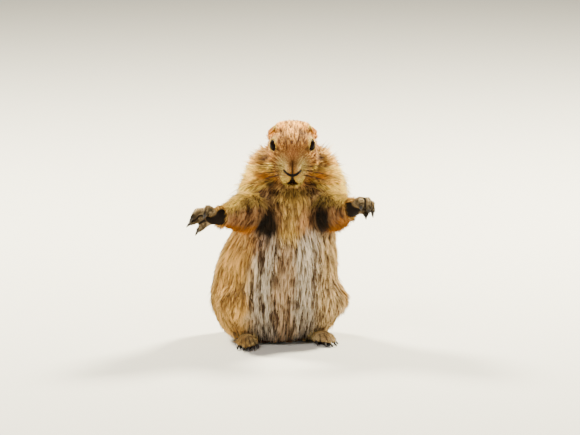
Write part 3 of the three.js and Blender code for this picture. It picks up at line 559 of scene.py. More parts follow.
def face_marks(points, normals, found, patchy):
    """The layers of each of the coat's colours on the head and the throat."""
    head = found["head_place"]
    is_head = found["head"]
    across, up = front_view(points)
    sideways = np.abs(across)
    face = is_head * (1 - ramp(4, 14, head[:, 1]))
    cheek = ramp(143, 150, points[:, 2]) * (1 - ramp(14, 26, points[:, 1]))
    throat = found["body"] * ramp(-0.9, -0.2, -normals[:, 1])
    areas = {"face": face, "cheek": cheek, "jaw": 1 - ramp(0, 10, points[:, 1]), "throat": throat}
    spots = {name: areas[area] * spot(sideways, up, *shape) for name, (area, *shape) in FACE_SPOTS.items()}

    # Seen from the front, the cheeks turn pale below a brown patch, and a pale rim runs round the lower lip
    cheeks = cheek * ramp(14, 20, sideways) * (1 - ramp(-21, -15, up - 2 * patchy))
    outer_cheek = cheek * ramp(19, 27, sideways) * (1 - ramp(2, 10, up))
    rim = np.abs(np.hypot(across / LIP_RIM_HALF_WIDTH, (up - LIP_MIDDLE) / LIP_RIM_HALF_HEIGHT) - 1) * 9.6
    lip_rim = face * (1 - ramp(0.8, 2.6, rim)) * (1 - ramp(-29, -26, up))
    eye_ring = 1 - ramp(7.2, 8.8, eye_distance(head))
    crown = is_head * ramp(6, 14, head[:, 2])
    ridge = face * np.exp(-((across / RIDGE_HALF_WIDTH) ** 2)) * (1 - ramp(-15, -12, up)) * ramp(-28, -26, up)
    ears = either(found, "ear")
    ear_rims = ears * ramp(8.4, 10.4, head[:, 2])
    ear_hollow = ears * (1 - ramp(7.4, 9.4, head[:, 2]))
    return {
        "cream": [
            (0.95 - 0.15 * is_head) * cheeks, 0.22 * outer_cheek, lip_rim, 0.5 * eye_ring, 0.1 * crown,
            0.8 * ear_rims, 0.7 * spots["pads"], 0.7 * spots["upper_lip"], 0.7 * spots["throat"],
        ],
        "gold": [0.95 * spots["jowl"], 0.35 * spots["throat"], 0.12 * crown, 0.7 * ear_hollow],
        "umber": [
            0.75 * (spots["forehead"] + 0.4 * spots["brow"]), spots["cheek_patch"], 0.95 * ridge,
            0.8 * spots["inner_corner"], 0.9 * spots["jaw_corner_shade"], 0.4 * spots["temple"],
            0.75 * spots["nose_top"],
        ],
        "silver": [0.55 * spots["pads"]],
        "rosy": [0.8 * spots["bridge"]],
        "black": [0.55 * spots["jaw_corner_shade"]],
    }


def body_marks(points, normals, found, patchy):
    """The layers of each of the coat's colours on the neck, the trunk, the limbs and the tail."""
    x, z = points[:, 0], points[:, 2]
    middle = 13 - np.clip(150 - z, 0, 100) * 0.08
    off_middle = np.abs(x - middle)
    front = ramp(-0.2, 0.5, -normals[:, 1])
    forward = 1 - ramp(-0.15, 0.5, normals[:, 1])
    body, tail, finger = found["body"], found["tail"], found["finger"]
    hands = either(found, "hand")
    feet = either(found, "foot")
    arms = either(found, "arm") * (1 - hands)

    # The pale neck ends at a line that runs down from the corners of the jaw along the top of each arm
    neck_ends = 147 - 0.42 * np.clip(off_middle - 13, 0, 60) + 2 * patchy
    below_neck = (1 - ramp(neck_ends - 3, neck_ends + 3, z)) * front
    chin = 1 - 0.75 * ramp(-19, -11, front_view(points)[1])
    neck = body * (1 - below_neck) * ramp(112, 128, z) * chin * (0.2 + 0.8 * forward)
    boundary = body * front * ramp(100, 116, z) * (1 - ramp(1.5, 4.5, np.abs(z - neck_ends + 3)))
    boundary = boundary * ramp(12, 20, off_middle)

    chest = body * below_neck * ramp(100, 116, z)
    collar = body * below_neck * ramp(98, 112, z) * (1 - ramp(136, 144, z)) * ramp(4, 20, off_middle)
    centre_line = body * below_neck * (1 - ramp(5, 14, off_middle + 3 * patchy))
    belly_edge = 26 + 22 * (x > middle)
    belly = 1 - ramp(belly_edge, belly_edge + 16, off_middle + 4 * patchy)
    belly = body * (1 - ramp(96, 116, z + 4 * patchy)) * front * belly
    dusk = belly * blob(points, (2, -38, 66), (22, 60, 46))
    flank = body * (1 - arms) * (1 - ramp(100, 118, z)) * ramp(20, 38, off_middle) * (0.35 + 0.65 * forward)
    back = body * (1 - front)

    # Painted highlight: cream, with some gold and rosy, along the tops of the arms where they face upwards
    arm_top_highlight = arms * ramp(0.35, 0.75, normals[:, 2]) * (0.3 + 0.7 * forward)
    under_arm = arms * ramp(0.1, 0.8, -normals[:, 2])
    arm_front = arms * (1 - under_arm) * ramp(-0.1, 0.5, -normals[:, 1])
    arm_front = arm_front * (1 - ramp(0.3, 0.65, normals[:, 2]))
    # Umber on the fronts of the arms: partly their own darker brown, partly painted shade, deeper on the arm
    # at x > 13
    arm_shade = 0.42 + 0.24 * (x > 13)
    below_arms = body * (1 - arms) * blob(points, (-22, -30, 98), (16, 40, 12)) * front
    # Painted shadow: near black in the deep folds where the arms meet the chest
    armpit_shadow = blob(points, (-9, -36, 113), (9, 26, 13)) + blob(points, (39, -32, 118), (7, 26, 14))
    armpit_shadow = np.clip(1.7 * armpit_shadow, 0, 1) * ramp(-0.5, 0.1, -normals[:, 1]) * (1 - found["head"])
    # Painted shade: the fingers' coat turns black wherever it does not face upwards
    finger_front_shade = finger * (1 - ramp(-0.2, 0.6, normals[:, 2]))
    return {
        "cream": [
            0.95 * neck * ramp(10, 26, off_middle), 0.35 * centre_line * ramp(88, 106, z), 0.06 * belly,
            0.25 * hands, 0.4 * feet, 0.6 * arm_top_highlight, 0.34 * flank,
        ],
        "gold": [
            0.95 * under_arm, 0.22 * arm_front, 0.3 * flank * front, 0.5 * below_arms, 0.2 * arm_top_highlight,
            0.15 * chest * (1 - arms),
        ],
        "umber": [
            arm_shade * arm_front, 0.5 * collar, 0.5 * boundary, 0.28 * chest, 0.16 * back * (1 + patchy),
        ],
        "silver": [
            0.95 * belly * (1 - 0.45 * centre_line), 0.7 * finger, 0.5 * feet, 0.25 * flank, 0.25 * chest,
            0.2 * arm_front,
        ],
        "rosy": [0.25 * arm_top_highlight, 0.1 * flank, 0.04 * arms * (1 - under_arm), 0.3 * hands],
        # Black is the tail's tip, dark belly hair and dark fingertips, and painted shade in the armpits,
        # between the fingers and toes and on the fronts of the fingers
        "black": [
            tail * ramp(0.6, 0.72, found["tail_share"] + 0.03 * patchy), 0.97 * armpit_shadow, 0.8 * finger_front_shade,
            0.5 * dusk * (1 - 0.5 * centre_line), 0.12 * belly, found["cleft"],
            0.5 * feet * found["toe_cleft"], 0.8 * found["finger_tip"],
        ],
    }


def markings(points, normals, found):
    """The weight of each of the coat's colours."""
    patchy = ripple(points, size=9, seed=3)
    face = face_marks(points, normals, found, patchy)
    body = body_marks(points, normals, found, patchy)
    return {name: np.clip(np.maximum.reduce(face[name] + body[name]), 0, 1) for name in body}


# The coat's build at a point: length and half width of a lock in mm, lift from the skin, locks in a square mm

NECK_LENGTH = 13.0
TRUNK_LENGTH = 14.0


def coat_build(points, normals, found):
    """Length, lift, half width and density of the coat at each point."""
    head = found["head_place"]
    is_head = found["head"]
    z = points[:, 2]
    face_length = 1.3 + 2.6 * ramp(8, 40, np.linalg.norm(head - (0, -24, -15), axis=1))
    ruff = is_head * ramp(15, 25, np.abs(head[:, 0])) * (1 - ramp(-5, 8, head[:, 2]))
    ruff = ruff * ramp(-16, 0, head[:, 1])
    nape = is_head * ramp(18, 30, head[:, 1])
    beside_ears = is_head * blob(mirrored(head), (11, 9, 15), (4, 9, 6))
    near_lips = is_head * (1 - ramp(9, 15, np.linalg.norm(head - (0, -22, -22), axis=1)))
    near_eye = is_head * (1 - ramp(7, 12, eye_distance(head)))
    under_arm = ramp(0.2, 0.8, -normals[:, 2])
    layers = (
        (either(found, "leg"), 10.0, 0.22, 0.3, 1.3),
        (is_head, face_length, 0.3 + 0.15 * ramp(8, 16, head[:, 2]), 0.13 + 0.02 * face_length, 4.8),
        (nape, 9.5, 0.42, 0.22, 3.6),
        (ruff, 11.0, 0.7, 0.2, 4.0),
        (beside_ears, 6.5, 0.85, 0.18, 5),
        (either(found, "arm"), 7.0 + 3 * under_arm, 0.24 + 0.2 * under_arm, 0.24, 2.5),
        (either(found, "hand"), 2.4, 0.3, 0.17, 5.0),
        (found["finger"], 1.9, 0.35, 0.17, 6.5),
        (either(found, "foot"), 2.4, 0.2, 0.17, 4.5),
        (found["tail"], 10.0 + 12 * ramp(0.35, 0.7, found["tail_share"]), 0.3, 0.42, 2.4),
        (near_lips, 1.1, 0.25, 0.15, 7.0),
        (near_eye, 1.1, 0.15, 0.12, 9.0),
        (either(found, "ear"), 1.2, 0.2, 0.13, 8.0),
    )
    length = TRUNK_LENGTH + (NECK_LENGTH - TRUNK_LENGTH) * ramp(120, 140, z)
    build = [length, 0.2 + 0.26 * ramp(130, 146, z), 0.28, 1.5]
    for weight, *values in layers:
        build = [old + weight * (new - old) for old, new in zip(build, values)]
    return build


def coat_flow(points, normals, found):
    """The way the coat lies: unit vectors along the skin."""
    head = found["head_place"]
    down_head = np.array([0, 0.3, -0.5]) * ramp(6, 26, np.abs(head[:, :1]))
    behind = ramp(14, 30, head[:, 1:2])
    head_way = unit(head - NOSE_TIP) * (1 - 0.7 * behind) + down_head + np.array([0, 0.35, -0.9]) * behind
    flare = ramp(126, 150, points[:, 2])[:, None]
    way = unit(np.array([0, 0, -1.0]) + 0.55 * flare * unit((points - (12, -5, 0)) * (1, 0.4, 0)))
    layers = []
    for side, s in SIDES.items():
        layers.append((found[f"leg_{side}"], unit(BODY_TURN @ np.array([s * 0.2, -0.35, -1.0]))))
    layers.append((found["head"], unit(head_way) @ HEAD_TURN.T))
    for side in SIDES:
        layers.append((found[f"arm_{side}"], unit(0.5 * found[f"arm_{side}_way"] + np.array([0, 0, -0.85]))))
        layers.append((found[f"hand_{side}"], HAND_WAY[side]))
        layers.append((found[f"foot_{side}"], found[f"foot_{side}_way"]))
    layers.append((found["tail"], found["tail_way"]))
    for side, s in SIDES.items():
        layers.append((found[f"ear_{side}"], unit(from_head((s * 0.5, 0.4, 1.0)) - from_head((0, 0, 0)))))
    for weight, new in layers:
        way = way + weight[:, None] * (new - way)
    return unit(way - (way * normals).sum(1, keepdims=True) * normals)


# Skin

def select_only(*objects):
    bpy.ops.object.select_all(action="DESELECT")
    for item in objects:
        item.select_set(True)
    bpy.context.view_layer.objects.active = objects[0]


def apply_modifier(item, kind, **settings):
    select_only(item)
    modifier = item.modifiers.new(kind.title(), kind)
    for name, value in settings.items():
        setattr(modifier, name, value)
    bpy.ops.object.modifier_apply(modifier=modifier.name)


def vertex_places(mesh):
    values = np.empty(len(mesh.vertices) * 3)
    mesh.vertices.foreach_get("co", values)
    return values.reshape(-1, 3)


def vertex_normals(mesh):
    values = np.empty(len(mesh.vertices) * 3, np.float32)
    mesh.vertex_normals.foreach_get("vector", values)
    return values.reshape(-1, 3).astype(float)


def put_places(mesh, places):
    mesh.vertices.foreach_set("co", np.asarray(places, float).ravel())
    mesh.update()


def put_attribute(mesh, name, values):
    layer = mesh.attributes.new(name, "FLOAT", "POINT")
    layer.data.foreach_set("value", np.asarray(values, np.float32))


def soft_edges(mesh, values, passes):
    """Evens out a value over a mesh's neighbouring vertices."""
    edges = np.empty(len(mesh.edges) * 2, np.int64)
    mesh.edges.foreach_get("vertices", edges)
    a, b = edges.reshape(-1, 2).T
    count = np.bincount(np.concatenate([a, b]), minlength=len(mesh.vertices))[:, None]
    values = values.reshape(len(mesh.vertices), -1)
    for _ in range(passes):
        total = np.zeros_like(values)
        for column in range(values.shape[1]):
            total[:, column] = np.bincount(a, values[b, column], len(values))
            total[:, column] += np.bincount(b, values[a, column], len(values))
        values = 0.5 * values + 0.5 * total / np.maximum(count, 1)
    return values


FLESH = [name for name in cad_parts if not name.startswith(("eye_", "claw_"))]
SAME_PLACE = 0.00001  # metres between corners that become one
SKIN_SWELL = 0.00022  # metres outwards, before the remesh
SKIN_VOXEL = 0.0009
SKIN_SINKS = 0.8  # how far the skin is drawn in, as a share of the coat's height
TAIL_SINKS = 0.3  # mm, under the brush
SOFT_PASSES = 12
SKIN_FACES = 190000


def make_tubes(name, lines, radii, material=None, roundness=4):
    """Round tapered tubes along lines of places in mm, closed at both ends, as one mesh object."""
    curve = bpy.data.curves.new(name, "CURVE")
    curve.dimensions = "3D"
    curve.bevel_depth = 0.001
    curve.bevel_resolution = roundness
    curve.use_fill_caps = True
    for line, line_radii in zip(lines, radii):
        spline = curve.splines.new("POLY")
        spline.points.add(len(line) - 1)
        for point, place, radius in zip(spline.points, metres(line), line_radii):
            point.co = (*place, 1)
            point.radius = radius
    tubes = bpy.data.objects.new(name, curve)
    bpy.context.collection.objects.link(tubes)
    select_only(tubes)
    bpy.ops.object.convert(target="MESH")
    tubes = bpy.context.view_layer.objects.active
    if material:
        bpy.ops.object.shade_smooth()
        tubes.data.materials.append(material)
    return tubes


def tail_core():
    """The bare tail under its brush, as a tapered tube."""
    shares = np.linspace(0, len(TAIL_RADIUS) - 1, len(TAIL_LINE))
    radii = 0.72 * np.interp(shares, range(len(TAIL_RADIUS)), TAIL_RADIUS)
    return make_tubes("TailCore", [TAIL_LINE], [radii])


# In the front view the ears keep below a slanting line: its outer end in mm, and its rise for each mm inwards
EAR_LINE_OUT = 22.1
EAR_LINE_UP = 12.4
EAR_LINE_SLOPE = 0.745
EAR_PRESS = 0.8
UP_THERE = (0.1736, 0.9848)  # the front view's way up, along Y and Z


def lay_ears_back(places, found):
    """Presses both ears towards the line of the crown, as low slanting crescents."""
    across, up = front_view(places)
    past = np.maximum(up - EAR_LINE_UP - EAR_LINE_SLOPE * (EAR_LINE_OUT - np.abs(across)), 0)
    press = EAR_PRESS * either(found, "ear") * past / (1 + EAR_LINE_SLOPE**2)
    way = [np.broadcast_to(part, up.shape) for part in (EAR_LINE_SLOPE * np.sign(across), *UP_THERE)]
    return places - press[:, None] * np.stack(way, 1)


def make_skin():
    """One skin over all the flesh, drawn in by the coat's depth."""
    parts = []
    for name in FLESH:
        if name == "tail_tip":  # the tail's core stands for it, under the brush
            continue
        part = bpy.data.objects.new("Skin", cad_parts[name].data.copy())
        bpy.context.collection.objects.link(part)
        parts.append(part)
    parts.append(tail_core())
    select_only(*parts)
    bpy.ops.object.join()
    skin = bpy.context.view_layer.objects.active
    skin.name = "Skin"
    skin.data.materials.clear()
    bpy.ops.object.mode_set(mode="EDIT")
    bpy.ops.mesh.select_all(action="SELECT")
    bpy.ops.mesh.remove_doubles(threshold=SAME_PLACE)
    bpy.ops.object.mode_set(mode="OBJECT")
    apply_modifier(skin, "DISPLACE", strength=SKIN_SWELL, mid_level=0.0)
    apply_modifier(skin, "REMESH", mode="VOXEL", voxel_size=SKIN_VOXEL)
    apply_modifier(skin, "SMOOTH", factor=0.5, iterations=2)

    mesh = skin.data
    places = millimetres(vertex_places(mesh))
    normals = vertex_normals(mesh)
    found = regions(places)
    length, lift, _, _ = coat_build(places, normals, found)
    depth = length * np.sin(lift) * SKIN_SINKS * (1 - bare_places(places, normals, found))
    depth = soft_edges(mesh, np.where(found["tail"] > 0.5, TAIL_SINKS, depth), SOFT_PASSES)
    way = unit(soft_edges(mesh, normals, SOFT_PASSES))
    put_places(mesh, metres(lay_ears_back(places, found) - way * depth))
    apply_modifier(skin, "SMOOTH", factor=0.5, iterations=2)

    # The trunk and limbs hide under the coat, so they need fewer faces than the head, hands and feet
    places = millimetres(vertex_places(skin.data))
    found = regions(places)
    fine = [found[name] for name in ("head", "hand_left", "hand_right", "foot_left", "foot_right")]
    coarse = 1 - np.maximum.reduce(fine)
    group = skin.vertex_groups.new(name="Coarse")
    for level in range(1, 11):
        chosen = np.nonzero(np.round(coarse * 10) == level)[0]
        group.add(chosen.tolist(), level / 10, "REPLACE")
    triangles = sum(len(p.vertices) - 2 for p in skin.data.polygons)
    if triangles > SKIN_FACES:
        apply_modifier(skin, "DECIMATE", ratio=SKIN_FACES / triangles, vertex_group="Coarse")
    skin.vertex_groups.clear()
    select_only(skin)
    bpy.ops.object.shade_smooth()
    return skin


skin = make_skin()


def dress_skin(skin):
    """Gives the skin its markings and bare places as attributes."""
    mesh = skin.data
    places = millimetres(vertex_places(mesh))
    normals = vertex_normals(mesh)
    found = regions(places)
    for name, weight in markings(places, normals, found).items():
        put_attribute(mesh, name, weight)
    put_attribute(mesh, "bare", bare_places(places, normals, found))
    put_attribute(mesh, "lip", found["head"] > 0.5)
    # Pads are pale, but not in the clefts, where the near-black leather paints shade between the fingers
    put_attribute(mesh, "pad", found["finger"] * (1 - found["cleft"]) * (1 - 0.8 * found["finger_tip"]))
    mesh.materials.clear()
    mesh.materials.append(SKIN)


dress_skin(skin)

# Coat

TUFT_SHARES = (0.0, 0.42, 1.0)  # where along a lock its root, its middle and its tip lie


def skin_roots(skin, seed):
    """Random places on the skin, as many to each square mm as the coat's build says."""
    draw = np.random.default_rng(seed)
    mesh = skin.data
    mesh.calc_loop_triangles()
    corners = np.empty(len(mesh.loop_triangles) * 3, np.int64)
    mesh.loop_triangles.foreach_get("vertices", corners)
    corners = corners.reshape(-1, 3)
    places = millimetres(vertex_places(mesh))
    normals = vertex_normals(mesh)
    found = regions(places)
    density = coat_build(places, normals, found)[3] * (1 - bare_places(places, normals, found))
    a, b, c = (places[corners[:, i]] for i in range(3))
    area = 0.5 * np.linalg.norm(np.cross(b - a, c - a), axis=1)
    expected = area * density[corners].mean(1)
    order = np.argsort(a[:, 2] // 3 * 1000 + np.arctan2(a[:, 1], a[:, 0] - 8), kind="stable")
    running = np.cumsum(expected[order])
    count = int(running[-1])
    marks = (np.arange(count) + draw.uniform(0, 1, count)) * running[-1] / count
    chosen = order[np.clip(np.searchsorted(running, marks), 0, len(order) - 1)]
    u, v = draw.uniform(0, 1, (2, count))
    over = u + v > 1
    u[over], v[over] = 1 - u[over], 1 - v[over]
    weights = np.stack([1 - u - v, u, v], 1)[:, :, None]
    roots = (places[corners[chosen]] * weights).sum(1)
    ups = unit((normals[corners[chosen]] * weights).sum(1))
    return roots, ups


def nearest_leader(roots, leaders):
    tree = KDTree(len(leaders))
    for i in leaders:
        tree.insert(roots[i], int(i))
    tree.balance()
    return np.array([tree.find(place)[1] for place in roots])


def value_noise(u, v, seed):
    """Smooth random values from 0 to 1 over a plane, about one unit across each patch."""
    draw = np.random.default_rng(seed)
    table = draw.uniform(0, 1, (256, 256))
    i, j = np.floor(u).astype(int), np.floor(v).astype(int)
    s, t = u - i, v - j
    s, t = s * s * (3 - 2 * s), t * t * (3 - 2 * t)

    def corner(a, b):
        return table[(i + a) % 256, (j + b) % 256]

    low = corner(0, 0) * (1 - s) + corner(1, 0) * s
    high = corner(0, 1) * (1 - s) + corner(1, 1) * s
    return low * (1 - t) + high * t


STREAK_WIDTH = 0.72
STREAK_LENGTH = 12.0
BODY_RADIUS, HEAD_RADIUS, ARM_RADIUS = 45, 33, 13  # mm to each radian round them
HEAD_STRETCH = 4.0  # the streaks on the head are this many times shorter


def streaks(points, found):
    """Long pale and dark streaks that run with the coat, from 0 to 1."""
    around = np.arctan2(points[:, 1] - 3, points[:, 0] - 8) * BODY_RADIUS
    down = points[:, 2]
    head = found["head_place"] - NOSE_TIP
    from_nose = np.linalg.norm(head, axis=1)
    around_head = np.arctan2(head[:, 0], head[:, 2]) * HEAD_RADIUS
    is_head = found["head"] > 0.5
    around = np.where(is_head, around_head, around)
    down = np.where(is_head, from_nose * HEAD_STRETCH, down)
    for side in SIDES:
        start, end = np.array(ARM[side][0], float), np.array(ARM[side][2], float)
        axis = unit(end - start)
        level = unit(np.cross(axis, (0, 0, 1.0)))
        offset = points - start
        angle = np.arctan2(offset @ np.cross(axis, level), offset @ level)
        on_arm = found[f"arm_{side}"] > 0.5
        around = np.where(on_arm, offset @ axis + 4 * angle, around)
        down = np.where(on_arm, angle * ARM_RADIUS, down)
    fine = value_noise(around / STREAK_WIDTH, down / STREAK_LENGTH, seed=31)
    broad = value_noise(around / (2.7 * STREAK_WIDTH) + 40, down / (1.6 * STREAK_LENGTH) + 9, seed=32)
    return ramp(0.22, 0.78, 0.84 * fine + 0.16 * broad)


LEADER_SHARE = 1 / 6  # of the locks are leaders, and the tips of their neighbours gather to them
GATHER = 0.56
SWAY = 0.09
LOWEST = 0.5  # mm above the floor, for the middle and the tip of a lock


def grow_coat(skin):
    """Every lock's root, its middle and its tip, with its width, shade and colours."""
    draw = np.random.default_rng(RANDOM_SEED)
    roots, ups = skin_roots(skin, RANDOM_SEED + 1)
    found = regions(roots)
    length, lift, width, _ = coat_build(roots, ups, found)
    flow = coat_flow(roots, ups, found)
    count = len(roots)

    across = np.cross(ups, flow)
    sway = draw.normal(0, SWAY, count)[:, None] + 0.1 * ripple(roots, size=16, seed=5)[:, None]
    flow = unit(flow + sway * across)
    lift = lift * np.exp(draw.normal(0, 0.25, count))
    length = length * draw.uniform(0.72, 1.15, count)
    on_neck = ramp(124, 134, roots[:, 2])
    stray = (draw.uniform(0, 1, count) < 0.04 + 0.1 * on_neck) & (length > 5)
    length = np.where(stray, length * (1.3 + 0.25 * on_neck), length)
    lift = np.where(stray, lift * 1.7, lift)

    leaders = np.nonzero(draw.uniform(0, 1, count) < LEADER_SHARE)[0]
    leader = nearest_leader(roots, leaders)
    rise = np.sin(lift)[:, None] * ups
    path = []
    for share in TUFT_SHARES:
        bend = share * (1 - 0.3 * share)
        point = roots + length[:, None] * (share * flow * np.cos(lift)[:, None] + 1.25 * bend * rise)
        path.append(point - 0.5 * (1 - share) ** 4 * ups)
    gather = (GATHER * ramp(2.5, 9, length))[:, None]
    path[2] = path[2] + gather * (path[2][leader] - path[2])
    path[1] = path[1] + 0.4 * gather * (path[1][leader] - path[1])
    for ring in path[1:]:
        ring[:, 2] = np.maximum(ring[:, 2], LOWEST)

    # A lock takes its colour from the place that its middle covers, so that markings show where they belong
    marks = markings(path[1], ups, regions(path[1]))
    shade_of_clump = draw.uniform(0, 1, count)
    short = 1 - ramp(2.5, 8, length)
    single = draw.uniform(0, 1, count)
    shade = 0.5 * streaks(roots, found) + 0.25 * shade_of_clump[leader] + 0.25 * single
    strength = 1.65 + 0.9 * marks["silver"] + 0.8 * short - 0.8 * marks["cream"] * (1 - short)
    strength = strength - 0.6 * marks["gold"]
    shade = np.clip(0.5 + 0.1 * marks["cream"] + 0.08 * marks["gold"] + (shade - 0.5) * strength, 0, 1)
    return {
        "roots": roots,
        "ups": ups,
        "path": path,
        "width": width * draw.uniform(0.8, 1.25, count),
        "shade": shade,
        "short": length < 3.4,
        "found": found,
        "marks": marks,
    }


def unwrapped(coat, chosen, zone):
    """Each root's place on an unwrap of the form there: a tube cut open, or the head spread flat."""
    roots = coat["roots"][chosen]
    found = coat["found"]
    if zone in ("head", "face"):
        head = found["head_place"][chosen] - (0, 10, -10)
        polar = np.arccos(np.clip(-unit(head)[:, 1], -1, 1)) / math.pi
        around = np.arctan2(head[:, 2], head[:, 0])
        return np.stack([0.5 + 0.48 * polar * np.cos(around), 0.5 + 0.48 * polar * np.sin(around)], 1)
    if zone in ("limbs", "paws"):
        u = np.zeros(len(roots))
        v = np.zeros(len(roots))
        for side, s in SIDES.items():
            for row, line in enumerate((np.array(ARM[side], float), FOOT_LINE[side])):
                start, end = line[0], line[-1]
                axis = unit(end - start)
                mine = (roots[:, 0] > 8 if s > 0 else roots[:, 0] <= 8) & ((roots[:, 2] > 85) == (row == 0))
                offset = roots - start
                level = unit(np.cross(axis, (0, 0, 1.0)))
                angle = np.arctan2(offset @ np.cross(axis, level), offset @ level) / (2 * math.pi) + 0.5
                u[mine] = (0.02 + 0.46 * angle + (0.5 if s > 0 else 0))[mine]
                reach = np.clip((offset @ axis + 60) / 160, 0, 1)
                v[mine] = (0.02 + 0.46 * reach + 0.5 * row)[mine]
        return np.stack([u, v], 1)
    if zone == "tail":
        share = along_line(roots, TAIL_LINE)[1]
        offset = roots - TAIL_LINE[np.clip((share * (len(TAIL_LINE) - 1)).astype(int), 0, len(TAIL_LINE) - 1)]
        angle = np.arctan2(offset[:, 2], offset[:, 0]) / (2 * math.pi) + 0.5
        return np.stack([0.02 + 0.96 * angle, 0.02 + 0.96 * share], 1)
    body = found["body_place"][chosen]
    angle = np.arctan2(body[:, 0], -body[:, 1]) / (2 * math.pi) + 0.5
    return np.stack([0.02 + 0.96 * angle, 0.02 + 0.96 * np.clip(roots[:, 2] / 185, 0, 1)], 1)


BAKE_PATCH = 0.003  # size of a lock's patch on the unwrap
SHORT_ZONES = ("face", "paws")

# A lock that is bent has two rings of three points and a tip, a short one has one ring and a tip. Given are
# the rings' widths, the faces, how far along each point lies, and its place in the patch.
LOCK_FORMS = {
    True: {
        "widths": (0.8, 1.0),
        "faces": [
            [0, 1, 4], [0, 4, 3], [1, 2, 5], [1, 5, 4], [2, 0, 3], [2, 3, 5],
            [3, 4, 6], [4, 5, 6], [5, 3, 6], [0, 2, 1],
        ],
        "along": np.repeat(TUFT_SHARES, (3, 3, 1)),
        "patch": [[-0.5, -0.5], [0.5, -0.5], [0, -0.35], [-0.4, -0.05], [0.4, -0.05], [0, 0.05], [0, 0.5]],
    },
    False: {
        "widths": (1.0,),
        "faces": [[0, 1, 3], [1, 2, 3], [2, 0, 3], [0, 2, 1]],
        "along": [0, 0, 0, 1],
        "patch": [[-0.5, -0.5], [0.5, -0.5], [0, -0.3], [0, 0.5]],
    },
}


def coat_piece(name, coat, chosen, zone):
    """One piece of the coat: each lock a three-sided spike, closed at its root, bent unless it is short."""
    path = [ring[chosen] for ring in coat["path"]]
    ups = coat["ups"][chosen]
    width = coat["width"][chosen][:, None]
    count = len(ups)
    form = LOCK_FORMS[zone not in SHORT_ZONES]
    along = unit(path[2] - path[0])
    side = unit(np.cross(along, ups))
    keel = np.cross(side, along)
    rings = []
    for ring, share in zip(path, form["widths"]):
        w = width * share
        rings += [ring - side * w, ring + side * w, ring + keel * w * 0.7]
    places = np.stack([*rings, path[2]], 1)
    corners = np.array(form["faces"])
    points = places.shape[1]
    faces = (corners[None] + points * np.arange(count)[:, None, None]).reshape(-1, 3)
    mesh = bpy.data.meshes.new(name)
    mesh.vertices.add(count * points)
    mesh.vertices.foreach_set("co", metres(places.reshape(-1, 3)).ravel())
    mesh.loops.add(faces.size)
    mesh.loops.foreach_set("vertex_index", faces.ravel().astype(np.int32))
    mesh.polygons.add(len(faces))
    mesh.polygons.foreach_set("loop_start", np.arange(0, faces.size, 3, dtype=np.int32))
    mesh.polygons.foreach_set("use_smooth", np.ones(len(faces), bool))
    mesh.update(calc_edges=True)
    mesh.validate()

    put_attribute(mesh, "along", np.tile(form["along"], count))
    put_attribute(mesh, "shade", np.repeat(coat["shade"][chosen], points))
    for mark, weight in coat["marks"].items():
        put_attribute(mesh, mark, np.repeat(weight[chosen], points))

    spot_of_root = unwrapped(coat, chosen, zone)[:, None, :]
    patches = (spot_of_root + np.array(form["patch"])[None] * BAKE_PATCH).reshape(-1, 2)
    layer = mesh.uv_layers.new(name="OFBake")
    layer.uv.foreach_set("vector", patches[faces.ravel()].astype(np.float32).ravel())

    mesh.materials.append(FUR)
    piece = bpy.data.objects.new(name, mesh)
    bpy.context.collection.objects.link(piece)
    return piece


def coat_zones(coat):
    """The region that each lock belongs to."""
    found = coat["found"]
    zone = np.full(len(coat["roots"]), "trunk", object)
    zone[found["head"] > 0.5] = "head"
    zone[(found["head"] > 0.5) & coat["short"]] = "face"
    zone[either(found, "arm") > 0.5] = "limbs"
    zone[(either(found, "hand") > 0.5) | (either(found, "foot") > 0.5)] = "paws"
    zone[found["tail"] > 0.5] = "tail"
    return zone


MOST_TRIANGLES = 195000  # in one piece of the coat


def make_coat(skin):
    """The coat in pieces by region, none too large."""
    coat = grow_coat(skin)
    zones = coat_zones(coat)
    pieces = []
    for zone in ("face", "head", "trunk", "limbs", "paws", "tail"):
        members = np.nonzero(zones == zone)[0]
        members = members[np.argsort(coat["roots"][members, 2], kind="stable")]
        triangles = len(members) * len(LOCK_FORMS[zone not in SHORT_ZONES]["faces"])
        parts = max(1, math.ceil(triangles / MOST_TRIANGLES))
        for i, chosen in enumerate(np.array_split(members, parts)):
            pieces.append(coat_piece(f"coat_{zone}_{i + 1}", coat, chosen, zone))
    return pieces


coat_pieces = make_coat(skin)

# Eyes, nose and whiskers

def gaze(side):
    """The ways an eye looks, along its slanted opening and across that, in the head's frame."""
    s = SIDES[side]
    forward = unit(np.array([s * math.sin(EYE_AZIMUTH), -math.cos(EYE_AZIMUTH), math.sin(EYE_RISE)]))
    level = unit(np.cross(forward, (0, 0, s)))
    upward = np.cross(level, forward) * s
    long_way = unit(level * math.cos(LID_SLANT) + upward * math.sin(LID_SLANT))
    return forward, long_way, np.cross(forward, long_way)


def make_eye(side):
    """An eyeball with a cornea that stands a little out of it."""
    s = SIDES[side]
    centre = from_head(EYE_CENTRE * (s, 1, 1))
    bpy.ops.mesh.primitive_uv_sphere_add(
        segments=48, ring_count=32, radius=EYE_RADIUS * 0.001, location=metres(centre)
    )
    eye = bpy.context.active_object
    eye.name = f"eyeball_{side}"
    bpy.ops.object.transform_apply(location=True, rotation=True, scale=True)
    forward = gaze(side)[0] @ HEAD_TURN.T
    toward = unit(millimetres(vertex_places(eye.data)) - centre) @ forward
    group = eye.vertex_groups.new(name="Cornea")
    for i, weight in enumerate(ramp(0.5, 0.95, toward)):
        group.add([i], weight, "REPLACE")
    apply_modifier(eye, "DISPLACE", strength=0.0005, mid_level=0.0, vertex_group="Cornea")
    eye.vertex_groups.clear()
    bpy.ops.object.shade_smooth()
    eye.data.materials.append(CORNEA)
    return eye


VIEW_START = 150  # mm in front of the frame's origin, where lines of sight begin
SKIN_TREE = BVHTree.FromObject(skin, bpy.context.evaluated_depsgraph_get())


